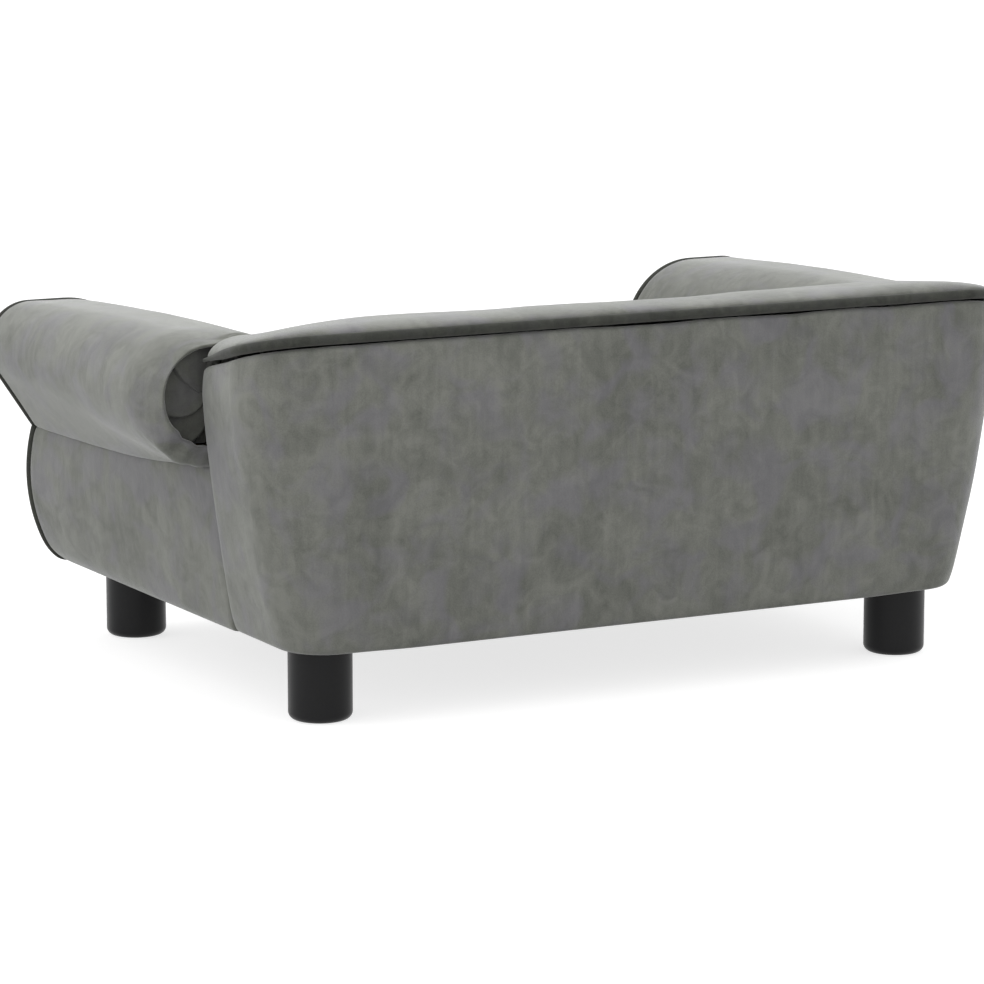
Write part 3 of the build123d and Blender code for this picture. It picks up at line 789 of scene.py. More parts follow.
@dataclass(frozen=True)
class Arm:
    """One rolled arm: roll cover, side panel, pleated end cap, front facing and its piping.

    Pairs of values hold for the front of the arm and for the seam of the wing, but rim_runs, rim_bows
    and pucker_depths for the top and the bottom of the hole. side_shapes gives two points of each side
    curve, as shares of its bulge and of its height. facing_rows, front_turn, panel_front, panel_rear
    and rim_return give distances before the front, behind it, before the wing's seam and before the
    rim, each with a distance inside the outline. roll_tuck and panel_tuck give how far the cloth goes
    inwards at the seam below the roll, and how far up. cap_sinks are the cap's depth in its middle and
    at its foot.
    """

    plan: Plan
    wardrobe: Wardrobe
    side: Side
    shoulder_radius: float = 62 * MM
    crests: Pair = (270 * MM, 281 * MM)
    crest_bow: float = 1.9
    roll_radii: Pair = (34 * MM, 50 * MM)
    roll_centres: Pair = (324 * MM, 311 * MM)
    seam_spans: Pair = (321 * MM, 307 * MM)
    seam_heights: Pair = (170 * MM, 185 * MM)
    seam_bows: Pair = (2, 3.5)
    bases: Pair = (292.4 * MM, 288.5 * MM)
    bulges: Pair = (34 * MM, 17 * MM)
    side_shapes: tuple[tuple[Pair, Pair], ...] = (
        ((1.0, 0.66), (0.66, 0.20)), ((0.68, 0.567), (0.265, 0.055)),
    )
    rim_reach: float = 8 * MM
    rim_runs: Pair = (46 * MM, 17 * MM)
    rim_turn: float = 26 * MM
    rim_bows: Pair = (1.7, 2.6)
    rim_lip: float = 3 * MM
    lip_slant: float = 0.3
    hole_centre: Pair = (311.5 * MM, 236 * MM)
    hole_radius: float = 38.5 * MM
    pucker_depths: Pair = (0.4 * MM, 2.9 * MM)
    pucker_start: float = 22 * MM
    pucker_run: float = 30 * MM
    pucker_side: float = 20 * MM
    cap_recess: float = 5 * MM
    cap_gap: float = 0.6 * MM
    cap_sinks: Pair = (4 * MM, 4.5 * MM)
    pleat_depth: float = 7 * MM
    cap_folds: tuple[float, ...] = (-135, -76, -16, 42, 103, 165, 225)
    cap_swirls: tuple[float, ...] = (-17, -50, -75, -20, -17, -17, -17)
    cap_rings: tuple[float, ...] = (1.0, 0.95, 0.86, 0.74, 0.6, 0.46, 0.32, 0.18, 0.07)
    pleat_shares: tuple[float, ...] = (0.0, 0.02, 0.08, 0.22, 0.42, 0.62, 0.8, 0.93, 0.985)
    facing_rows: tuple[Pair, ...] = (
        (0.0, 0.0), (2.6 * MM, 0.0), (3.7 * MM, 0.6 * MM), (4.3 * MM, 2.2 * MM), (4.7 * MM, 6 * MM),
        (5.0 * MM, 12 * MM),
    )
    front_turn: tuple[Pair, ...] = ((0.2 * MM, 4 * MM), (0.2 * MM, 1.8 * MM), (1.1 * MM, 0.5 * MM))
    rim_return: tuple[Pair, ...] = ((0.8 * MM, 0.9 * MM), (2.5 * MM, 1.3 * MM))
    piping_radius: float = 3 * MM
    piping_proud: float = 1.5 * MM
    facing_gap: float = 0.3 * MM
    roll_tuck: tuple[Pair, ...] = ((1.2 * MM, 0.0), (4 * MM, 0.8 * MM), (9 * MM, 2 * MM))
    panel_tuck: tuple[Pair, ...] = ((9 * MM, 0.6 * MM), (4 * MM, 0.2 * MM), (1.2 * MM, 0.0))
    panel_front: tuple[Pair, ...] = ((0.2 * MM, 5 * MM), (0.2 * MM, 2 * MM), (1.2 * MM, 0.5 * MM))
    panel_rear: tuple[Pair, ...] = ((3 * MM, 0.2 * MM), (1.4 * MM, 1.0 * MM), (0.4 * MM, 2.6 * MM),
                                    (0.2 * MM, 6 * MM))
    lean_run: float = 90 * MM
    hem: float = 62 * MM
    cloth: float = 1.6 * MM
    step: float = 6.5 * MM

    @property
    def front(self) -> float:
        """Foremost plane of the arm, at the front of its piping."""
        return self.plan.arm_front - 2 * self.piping_radius

    @property
    def last(self) -> float:
        """Rearmost plane of the roll."""
        return self.plan.seam + self.rim_reach

    @property
    def middle(self) -> Vector:
        """A point inside the roll."""
        return self.at(self.roll_centres[1], 0, self.crests[0] - self.roll_radii[1])

    def share(self, y: float) -> float:
        """Share of the way from the front of the arm to the seam of the wing."""
        return max(0.0, min(1.0, (y - self.front) / (self.plan.seam - self.front)))

    def section(self, y: float) -> RollSection:
        """Section of the roll at a depth."""
        share = self.share(y)
        radius = lerp(*self.roll_radii, share)
        crest = lerp(*self.crests, 1 - (1 - share) ** self.crest_bow)
        spans, heights = self.seam_bows
        seam = (lerp(*self.seam_spans, share ** spans), lerp(*self.seam_heights, share ** heights))
        return RollSection((lerp(*self.roll_centres, share), crest - radius), radius, seam)

    def at(self, x: float, y: float, z: float) -> Vector:
        """A point of this side."""
        return Vector((self.side.value * x, y, z))

    def profile(self, y: float, inset: float, low: float) -> list[Pair]:
        """Section of the arm from the foot of its inner face up, over the roll and down to its seam.

        Args:
            y: Depth of the section.
            inset: Distance inside the cover's outer surface.
            low: Height of its lowest point.

        Returns:
            The points as x and z.
        """
        roll = self.section(y)
        shoulder = (self.plan.half_seat + self.shoulder_radius, roll.crest - self.shoulder_radius)
        points = [(self.plan.half_seat + inset, z) for z in spread(low, shoulder[1], 27)[:-1]]
        points += arc(shoulder, self.shoulder_radius - inset, pi, pi / 2, 18)[:-1]
        points += [(x, roll.crest - inset) for x in spread(shoulder[0], roll.centre[0], 5)[:-1]]
        points += arc(roll.centre, roll.radius - inset, pi / 2, roll.last_turn, 32)
        last = points[-1]
        end = (roll.seam[0] - inset * cos(roll.last_turn), roll.seam[1] - inset * sin(roll.last_turn))
        return points + [between(last, end, share) for share in spread(0, 1, 7)[1:]]

    def roll_cover(self) -> bpy.types.Object:
        """The cover of the inner face, the shoulder and the roll, drawn in to the cap at its rear end."""
        front, rim = self.plan.arm_front, self.last - self.rim_runs[1]
        rows = [(front + back, inset) for back, inset in self.front_turn]
        rows += [(y, 0.0) for y in spread(front + 3 * MM, rim, round((rim - front) / self.step))]
        rows += [(lerp(rim, self.last, sin(turn)), 0.0) for turn in spread(0, pi / 2, 11)[1:]]
        inner = self.cap_recess + 4 * MM
        returned = [(self.last - back, inset) for back, inset in (*self.rim_return, (inner, self.cloth))]
        skin = Skin()
        for places, inside in ((rows, False), (returned, True)):
            for y, inset in places:
                points = self.roll_row(y, inset, inside)
                points += [points[-1] + self.at(-back, 0, up) for back, up in self.roll_tuck]
                skin.add(points)
        skin.face_away(self.middle)
        skin.rumple(self.plan.ground, Swells(1.1 * MM, 52 * MM, (1, 2, 1), 3.0 * self.side.value))
        self.pucker(skin, rim)
        return skin.sew(f"roll_cover_{self.side.label}", self.cloth)

    def roll_row(self, y: float, inset: float, inside: bool) -> list[Vector]:
        """One row of the roll's cover: along the roll, drawn in to the hole, or inside the hole.

        Args:
            y: Depth of the row on the roll. The shoulder ends at the seam of the wing.
            inset: Distance inside the outer surface, or inside the hole's edge.
            inside: Whether the row lies inside the hole.

        Returns:
            The points.
        """
        seam, lip = self.plan.seam, self.rim_lip
        hole = Vector(self.hole_centre)
        drop = lip * ease((y - seam) / lip + 0.5)
        points = []
        for x, z in self.profile(min(y, seam), 0.0 if inside else inset, self.plan.ground):
            beside = Vector((x, z)) - hole
            edge = hole + beside.normalized() * (self.hole_radius - inset)
            draw = 1.0 if inside else self.drawn(y, atan2(beside.y, beside.x))
            share = ease((x - self.roll_centres[1]) / self.rim_turn + 1)
            round_hole = between((x, z), (edge.x, edge.y), draw)
            across, up = between((x + drop * self.lip_slant, z - drop), round_hole, share)
            points.append(self.at(across, lerp(min(y, seam + lip), y, share), up))
        return points

    def drawn(self, y: float, turn: float) -> float:
        """Share of the way that the roll has drawn in to its hole: gently above, close to the rim below.

        Args:
            y: Depth.
            turn: Angle round the hole.

        Returns:
            The share, from 0 to 1.
        """
        low = ease(0.2 - turn / radians(80))
        run = lerp(*self.rim_runs, low)
        return max(0.0, 1 - (self.last - y) / run) ** lerp(*self.rim_bows, low)

    def pucker(self, skin: Skin, rim: float) -> None:
        """Gathers the cloth into small folds where it is drawn in to the cap.

        Args:
            skin: The roll's skin.
            rim: Depth where the roll starts to draw in.
        """
        for vert in skin.mesh.verts:
            roll = self.section(vert.co.y)
            beside = Vector((abs(vert.co.x) - roll.centre[0], vert.co.z - roll.centre[1]))
            near = ease((vert.co.y - rim + self.pucker_start) / self.pucker_run)
            near *= ease(beside.x / self.pucker_side + 1)
            if near <= 0:
                continue
            turn = atan2(beside.y, beside.x)
            low = ease(0.45 - turn / radians(70))
            fold = noise.noise(Vector((turn * 7.0, vert.co.y / (30 * MM), 5.0)))
            fold += 0.7 * noise.noise(Vector((turn * 17.0, vert.co.y / (18 * MM), 9.0)))
            vert.co += vert.normal * near * fold * lerp(*self.pucker_depths, low)

    def side_curves(self, inset: float) -> tuple[list[Pair], list[Pair]]:
        """Front and rear edges of the side panel, from the roll's seam down to the hem.

        Args:
            inset: Distance inside the outer surface.

        Returns:
            The points as x and z, at the front and at the seam of the wing.
        """
        curves = []
        low = self.plan.ground - 1 * MM
        tops = zip(self.seam_spans, self.seam_heights)
        for base, bulge, (top_x, top_z), shape in zip(self.bases, self.bulges, tops, self.side_shapes):
            middle, corner = [(base + out * bulge - inset, lerp(low, top_z, up)) for out, up in shape]
            swell = arc_through((top_x - inset, top_z), middle, corner, 20)
            heading = Vector(swell[-1]) - Vector(swell[-2])
            turn = tangent_arc(corner, heading, (base - inset, low), 7)
            curves.append(swell + turn[1:])
        return curves[0], curves[1]

    def side_panel(self) -> bpy.types.Object:
        """The panel below the roll, tucked in at the piping, at the wing's seam and under the base."""
        front, rear = self.plan.arm_front, self.plan.seam
        count = round((rear - front) / self.step)
        stations = [(front + back, inset) for back, inset in self.panel_front]
        stations += [(y, 0.0) for y in spread(front + 3 * MM, rear - 5 * MM, count)]
        stations += [(rear - before, inset) for before, inset in self.panel_rear]
        skin = Skin()
        for y, inset in stations:
            ahead, behind = self.side_curves(inset)
            share = self.share(y)
            curve = [between(a, b, share) for a, b in zip(ahead, behind)]
            seam = self.section(y).seam
            lift, shift = seam[1] - curve[0][1], seam[0] - inset - curve[0][0]
            fades = spread(1, 0, len(curve))
            curve = [(x + shift * keep ** 2, z + lift * keep) for (x, z), keep in zip(curve, fades)]
            top, bottom = curve[0], curve[-1]
            tuck = [(top[0] - back, top[1] + up) for back, up in self.panel_tuck]
            under = [(bottom[0] - back, self.plan.ground) for back in (3 * MM, 10 * MM, self.hem)]
            row = []
            for x, z in tuck + curve[1:] + under:
                lean = (self.plan.seam_line(z) - self.plan.seam) * ease(1 - (rear - y) / self.lean_run)
                row.append(self.at(x, y + lean, z))
            skin.add(row)
        skin.face_away(self.at(self.plan.half_seat, 0, self.plan.deck))
        skin.rumple(self.plan.ground, Swells(1.2 * MM, 45 * MM, (1, 1, 2.6), 11.0 + self.side.value))
        return skin.sew(f"side_panel_{self.side.label}", self.cloth)

    def end_cap(self) -> bpy.types.Object:
        """The round cap in the rear end of the roll, laid in knife pleats that meet in its middle."""
        folds = [(radians(turn), radians(swirl)) for turn, swirl in zip(self.cap_folds, self.cap_swirls)]
        middle, radius = Vector(self.hole_centre), self.hole_radius - self.cap_gap
        dish, slope = self.cap_sinks
        skin = Skin(closed=True)
        for size in self.cap_rings:
            row = []
            for start, end in zip(folds, folds[1:]):
                for share in self.pleat_shares:
                    turn = lerp(start[0], end[0], share) + lerp(start[1], end[1], share) * (1 - size)
                    lift = self.pleat_depth * size ** 0.7 * (share ** 0.8 if share > 0.01 else 1.0)
                    sink = dish * (1 - size) + slope * (1 - sin(turn)) * size
                    x, z = middle + Vector((cos(turn), sin(turn))) * radius * size
                    row.append(self.at(x, self.last - self.cap_recess - lift - sink, z))
            skin.add(row)
        skin.close_row(skin.edges)
        skin.face_away(self.middle)
        return skin.sew(f"pleated_cap_{self.side.label}", self.cloth)

    def facing(self) -> bpy.types.Object:
        """The scroll-shaped panel on the front of the arm, padded a little."""
        inset = 2 * self.piping_radius - self.piping_proud + self.facing_gap
        front = self.plan.arm_front
        low = self.plan.ground + self.cloth
        skin = Skin(closed=True)
        for proud, more in self.facing_rows:
            ahead = self.side_curves(inset + more)[0]
            outline = self.profile(self.front, inset + more, low + more)
            panel = [(x, max(z, low + more)) for x, z in ahead[1:]]
            skin.add([self.at(x, front - proud, z) for x, z in outline + panel])
        skin.close_row(skin.edges)
        skin.face_away(self.middle)
        return skin.build(f"front_facing_{self.side.label}")

    def facing_piping(self) -> bpy.types.Object:
        """The piping round the front of the arm: over the roll, and down the side panel."""
        inset = self.piping_radius - self.piping_proud
        y = self.front + self.piping_radius
        low = self.plan.ground + self.piping_radius
        over = [self.at(x, y, z) for x, z in self.profile(y, inset, low)]
        down = [self.at(x, y, max(z, low)) for x, z in self.side_curves(inset)[0]]
        skin, lower = [tube(path, lambda share: self.piping_radius, closed=False) for path in (over, down)]
        spare = bpy.data.meshes.new("lower_piping")
        lower.mesh.to_mesh(spare)
        lower.mesh.free()
        skin.mesh.from_mesh(spare)
        bpy.data.meshes.remove(spare)
        piece = skin.build(f"front_piping_{self.side.label}")
        soften(piece)
        return piece

    def build(self) -> None:
        """Makes and places every piece of the arm."""
        label = self.side.label
        plush = self.wardrobe.plush
        cover = place_piece(self.roll_cover(), plush, "root",
                            [f"arm_cover_{label}", f"arm_foam_{label}"])
        panel = place_piece(self.side_panel(), plush, "root",
                            [f"side_cover_{label}", f"side_padding_{label}"])
        # The pleated cap wears the darker plush, which carries painted shade of its recess
        cap = place_piece(self.end_cap(), self.wardrobe.cap_plush_painted_shade, "root",
                          [f"arm_end_cap_{label}", f"arm_rear_board_{label}"])
        facing = place_piece(self.facing(), plush, "root",
                             [f"arm_facing_{label}", f"arm_front_board_{label}"])
        place_piece(self.facing_piping(), self.wardrobe.piping, "root",
                    [f"facing_piping_{label}"])


@dataclass(frozen=True)
class Back:
    """The low back with its wings: outer panel, top pad with the inner cover, and the piping between.

    groove gives distances inside the wall and below the panel's top. panel_edge and pad_edge give, for
    each row of a turned-in end, a distance inside the surface and a shift to the rear. hem_drops are
    how far the panel reaches below the base everywhere, and further in the middle of its rear.
    pad_overlap is how much of the piping the pad overlaps, as a share of the piping's radius.
    """

    plan: Plan
    wardrobe: Wardrobe
    side_lean: float = 25 * MM
    rear_lean: float = 7 * MM
    splay: float = 6 * MM
    belly: float = 4 * MM
    rear_belly: float = 2.4 * MM
    lean_height: float = 240 * MM
    corner_low: float = 38 * MM
    corner_high: float = 44 * MM
    well_corner: float = 40 * MM
    piping_height: float = 290 * MM
    piping_slope: float = radians(13)
    piping_radius: float = 3.9 * MM
    piping_sink: float = 3.2 * MM
    piping_gap: float = 2.1 * MM
    piping_taper: float = 55 * MM
    piping_thin: float = 0.38
    piping_step: float = 5 * MM
    pad_height: float = 279 * MM
    pad_rise: float = 18.7 * MM
    pad_bow: float = 1.25
    pad_foot: float = 9 * MM
    pad_overlap: float = 0.85
    pad_inset: float = 1 * MM
    outer_round: float = 34 * MM
    inner_round: float = 34 * MM
    front_round: float = 27 * MM
    shoulder_radius: float = 62 * MM
    shoulder_turn: float = radians(104)
    shoulder_run: float = 60 * MM
    end_drop: float = 40 * MM
    end_size: float = 32 * MM
    hem: float = 25 * MM
    hem_round: float = 5 * MM
    hem_drops: Pair = (0.5 * MM, 1 * MM)
    lip_round: float = 3 * MM
    lip_lap: float = 1.5 * MM
    slack: float = 1.2 * MM
    groove: tuple[Pair, ...] = ((4.6 * MM, 1.6 * MM), (8 * MM, 5 * MM))
    panel_edge: tuple[Pair, ...] = ((10 * MM, 0.2 * MM), (3.2 * MM, 0.2 * MM), (1.2 * MM, 0.8 * MM),
                                    (0.3 * MM, 2.4 * MM))
    pad_edge: tuple[Pair, ...] = ((9 * MM, 0.2 * MM), (3.4 * MM, -0.4 * MM), (1.3 * MM, 0.2 * MM),
                                  (0.3 * MM, 1.8 * MM))
    cloth: float = 1.6 * MM
    step: float = 7 * MM

    def wall(self, z: float) -> Outline:
        """Plan of the outer wall at a height."""
        share = max(0.0, min(1.0, (z - self.plan.ground) / (self.lean_height - self.plan.ground)))
        half = lerp(self.plan.half_top - self.side_lean, self.plan.half_top, share)
        rear = lerp(self.plan.rear - self.rear_lean, self.plan.rear, share)
        corner = lerp(self.corner_low, self.corner_high, share)
        return Outline(half, self.plan.seam_line(z), rear, corner, self.splay * share)

    @property
    def top_wall(self) -> Outline:
        """Plan of the outer wall at the height of the piping."""
        return self.wall(self.piping_height)

    def piping_line(self, y: float) -> float:
        """Height of the piping's centre line at a depth."""
        return self.piping_height - (self.plan.rear + 3 * MM - y) * tan(self.piping_slope)

    def pad_line(self, y: float) -> float:
        """Height of the top of the pad at a depth."""
        middle = (self.plan.well_rear + self.plan.rear) / 2
        share = max(0.0, (y - self.plan.seam) / (middle - self.plan.seam))
        return self.pad_height + self.pad_rise * share ** self.pad_bow

    def cord_radius(self, y: float) -> float:
        """Radius of the piping at a depth: it tapers towards the fronts of the wings."""
        share = ease((y - self.top_wall.front) / self.piping_taper)
        return self.piping_radius * lerp(self.piping_thin, 1.0, share)

    def column(self, station: Station, tuck: float, shift: float) -> list[Vector]:
        """Upright line of the outer panel, from its hem under the base to its top under the piping.

        Args:
            station: Place along the wall.
            tuck: Distance that the whole line lies inside the wall.
            shift: Distance that it lies behind the seam of the wing.

        Returns:
            The points.
        """
        middle = ease(4 * station.share) if station.run is Run.REAR else 0.0
        drop, more = self.hem_drops
        ground = self.plan.ground - more * middle - drop
        top = self.piping_line(self.top_wall.point(station).y) - self.piping_radius - self.piping_gap
        belly = lerp(self.belly, self.rear_belly, middle)
        corner, lip = self.hem_round, self.lip_round
        rows = [(self.hem, self.plan.ground), (14 * MM, self.plan.ground), (7 * MM, ground)]
        rows += [(corner * (1 - sin(turn)), ground + corner * (1 - cos(turn)))
                 for turn in spread(0.2, pi / 2, 4)]
        heights = spread(ground + corner, top - lip, 36)[1:]
        rows += [(-belly * sin(pi * share ** 0.9) ** 0.7 - self.slack * share, z)
                 for share, z in zip(spread(0, 1, 36)[1:], heights)]
        rows += [((lip + self.lip_lap) * (1 - cos(turn)) - self.slack, top - lip + lip * sin(turn))
                 for turn in spread(0, pi / 2, 5)[1:]]
        rows += [(inset, top - below) for inset, below in self.groove]
        points = []
        for inset, z in rows:
            point = self.wall(z).grown(-inset - tuck).point(station)
            points.append(Vector((point.x, point.y + shift, z)))
        return points

    def wrap(self, row: Callable[[Station, float, float], list[Vector]], edge: Sequence[Pair]) -> Skin:
        """A skin along the whole wall, with both its ends turned in.

        Args:
            row: Makes the row of a station from a distance inside the surface and a shift to the rear.
            edge: These two distances for the rows of a turned-in end, the innermost row first.

        Returns:
            The skin.
        """
        stations = self.top_wall.stations(self.step)
        skin = Skin()
        for inside, shift in edge:
            skin.add(row(stations[0], inside, shift))
        for station in stations[1:-1]:
            skin.add(row(station, 0.0, 0.0))
        for inside, shift in edge[::-1]:
            skin.add(row(stations[-1], inside, shift))
        return skin

    def outer_panel(self) -> bpy.types.Object:
        """The one panel that wraps round the rear corners on to the wings."""
        skin = self.wrap(self.column, self.panel_edge)
        skin.face_away(Vector((0, 0, self.plan.deck)))
        skin.rumple(self.plan.ground, Swells(1.5 * MM, 62 * MM, (1, 1, 2.2), 21.0))
        return skin.sew("back_panel", self.cloth)

    def pad_section(self, station: Station, shrink: float, shift: float) -> list[Vector]:
        """Section across the pad, from the foot of the inner back up, over and down to the piping.

        Near the wing's seam the section turns into the shoulder of the arm.

        Args:
            station: Place along the wall.
            shrink: Distance that the section lies inside the pad's surface.
            shift: Distance that it is moved to the rear.

        Returns:
            The points.
        """
        front = self.top_wall.front
        inner = Outline(self.plan.half_seat, front, self.plan.well_rear, self.well_corner).point(station)
        outer = self.top_wall.point(station)
        width = (outer - inner).length
        out = (outer - inner).normalized()
        low = self.plan.deck - self.pad_foot
        crest = self.pad_line(lerp(inner.y, outer.y, 0.5))
        foot = self.piping_line(outer.y)
        share = ease((outer.y - front) / self.shoulder_run)
        outer_round = lerp(self.front_round, self.outer_round, share)
        lap = foot + self.pad_overlap * self.cord_radius(outer.y)
        over = [(width - self.pad_inset - outer_round * (1 - cos(turn)), lap + (crest - lap) * sin(turn))
                for turn in spread(pi / 2, 0, 15)]
        pad = [(0.0, z) for z in spread(low, crest - self.inner_round, 22)[:-1]]
        pad += arc((self.inner_round, crest - self.inner_round), self.inner_round, pi, pi / 2, 14)
        shoulder = crest - self.shoulder_radius
        arm = [(0.0, z) for z in spread(low, shoulder, 22)[:-1]]
        arm += arc((self.shoulder_radius, shoulder), self.shoulder_radius, pi, self.shoulder_turn, 14)
        middle = (width / 2, crest - self.end_drop)
        keep = 1 - shrink / self.end_size
        section = [between(first, last, share) for first, last in zip(arm, pad)] + over
        section += [(width - 2.4 * MM, lap - 1.3 * MM), (width - 7 * MM, foot)]
        points = []
        for across, z in section:
            point = inner + out * lerp(middle[0], across, keep)
            points.append(Vector((point.x, point.y + shift, lerp(middle[1], z, keep) if shrink else z)))
        return points

    def top_pad(self) -> bpy.types.Object:
        """The padded top with the inner cover, from arm to arm."""
        skin = self.wrap(self.pad_section, self.pad_edge)
        skin.face_away(Vector((0, self.plan.rear * 0.85, self.plan.deck * 2)))
        skin.rumple(self.plan.ground, Swells(1.2 * MM, 55 * MM, (1.5, 1.5, 1), 31.0))
        return skin.sew("top_pad_and_inner_back", self.cloth)

    def piping(self) -> bpy.types.Object:
        """The piping along the top edge of the outer panel, with its two ends tucked in."""
        line = self.top_wall.grown(self.piping_radius - self.piping_sink)
        path = []
        for station in line.stations(self.piping_step):
            point = line.point(station)
            path.append(Vector((point.x, point.y, self.piping_line(point.y))))
        last = len(path) - 1
        skin = tube(path, lambda share: self.cord_radius(path[round(share * last)].y), closed=False)
        piece = skin.build("back_edge_piping")
        soften(piece)
        return piece

    def build(self) -> None:
        """Makes and places every piece of the back."""
        panel = place_piece(self.outer_panel(), self.wardrobe.plush, "root",
                            ["back_outer_cover", "back_padding"])
        pad = place_piece(self.top_pad(), self.wardrobe.plush, "root",
                          ["back_inner_cover", "back_foam", "wing_foam_left", "wing_foam_right"])
        place_piece(self.piping(), self.wardrobe.piping, "root", ["back_piping"])


@dataclass(frozen=True)
class SeatBase:
    """What lies between the arms and below: front rail cover, deck cover and dust cover."""

    plan: Plan
    wardrobe: Wardrobe
    cloth: float = 1.6 * MM
    hem: float = 25 * MM
    edge_round: float = 3.5 * MM
    rail_belly: float = 1.2 * MM
    deck_gap: float = 0.5 * MM
    deck_sag: float = 0.9 * MM
    dust_corner: float = 32 * MM
    dust_sag: float = 1.6 * MM
    foot_clearance: float = 1.2 * MM

    def rail_cover(self) -> bpy.types.Object:
        """The plush panel below the cushion's front, turned over the rail and under the base."""
        front, ground, deck = self.plan.rail_front, self.plan.ground, self.plan.deck
        radius = self.edge_round
        line = [(front + back, ground) for back in (self.hem, 16 * MM, 9 * MM)]
        line += arc((front + radius, ground + radius), radius, -pi / 2, -pi, 5)
        line += [(front - self.rail_belly * sin(pi * share), lerp(ground + radius, deck - radius, share))
                 for share in spread(0, 1, 9)[1:-1]]
        line += arc((front + radius, deck - radius), radius, pi, pi / 2, 5)
        line += [(y, deck) for y in spread(front + radius, self.plan.rail_rear, 4)[1:]]
        skin = Skin()
        for x in spread(-self.plan.half_seat, self.plan.half_seat, 74):
            skin.add([Vector((x, y, z)) for y, z in line])
        skin.face_away(Vector((0, 0, lerp(ground, deck, 0.5))))
        skin.rumple(self.plan.ground, Swells(0.8 * MM, 40 * MM, (1, 1, 1.5), 41.0))
        return skin.sew("front_rail_panel", self.cloth)

    def deck_cover(self) -> bpy.types.Object:
        """The black cloth that the loose cushion lies on."""
        skin = Skin()
        plan = self.plan
        for y in spread(plan.rail_rear, plan.well_rear, 37):
            sag = self.deck_sag * sin(pi * (y - plan.rail_rear) / (plan.well_rear - plan.rail_rear))
            skin.add([Vector((x, y, plan.deck - self.deck_gap - sag * cos(pi * x / plan.half_seat / 2)))
                      for x in spread(-plan.half_seat, plan.half_seat, 49)])
        skin.face_away(Vector((0, 0, 0)))
        piece = skin.build("seat_deck_cloth")
        thicken(piece, self.cloth)
        return piece

    def dust_cover(self) -> bpy.types.Object:
        """The black cloth under the base, cut out round the feet and stapled along its edge."""
        low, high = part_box("dust_cover")
        corner = self.dust_corner
        skin = Skin()
        for y in spread(low.y, high.y, 59):
            deep = max(0.0, y - (high.y - corner))
            half = high.x - corner + sqrt(max(0.0, corner ** 2 - deep ** 2))
            sag = self.dust_sag * sin(pi * (y - low.y) / (high.y - low.y))
            row = []
            for x in spread(-half, half, 79):
                drop = sag * cos(pi * x / high.x / 2) ** 0.8 if abs(x) < high.x else 0.0
                row.append(Vector((x, y, high.z - drop)))
            skin.add(row)
        for name in ("foot_rear", "foot_front"):
            for side in Side:
                first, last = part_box(f"{name}_{side.label}")
                self.cut_round(skin, (first + last) / 2, (last.x - first.x) / 2 + self.foot_clearance)
        skin.face_away(Vector((0, 0, self.plan.deck)))
        piece = skin.build("dust_cloth")
        thicken(piece, high.z - low.z)
        return piece

    def cut_round(self, skin: Skin, middle: Vector, radius: float) -> None:
        """Cuts a round notch and draws its edge on to the circle.

        Args:
            skin: The cloth.
            middle: Centre of the notch.
            radius: Its radius.
        """
        def gap(place: Vector) -> float:
            """Distance in plan from the centre."""
            return Vector((place.x - middle.x, place.y - middle.y)).length

        inside = {face for face in skin.mesh.faces if gap(face.calc_center_median()) < radius}
        rim = [vert for vert in skin.mesh.verts
               if 0 < len(inside.intersection(vert.link_faces)) < len(vert.link_faces)]
        bmesh.ops.delete(skin.mesh, geom=list(inside), context="FACES")
        for vert in rim:
            away = Vector((vert.co.x - middle.x, vert.co.y - middle.y)).normalized() * radius
            vert.co.x, vert.co.y = middle.x + away.x, middle.y + away.y

    def build(self) -> None:
        """Makes and places the covers."""
        felt = self.wardrobe.felt
        rail = place_piece(self.rail_cover(), self.wardrobe.plush, "root", ["front_rail_cover"])
        deck = place_piece(self.deck_cover(), felt, "root", ["seat_deck_cover"])
        dust = place_piece(self.dust_cover(), felt, "root", ["dust_cover"])


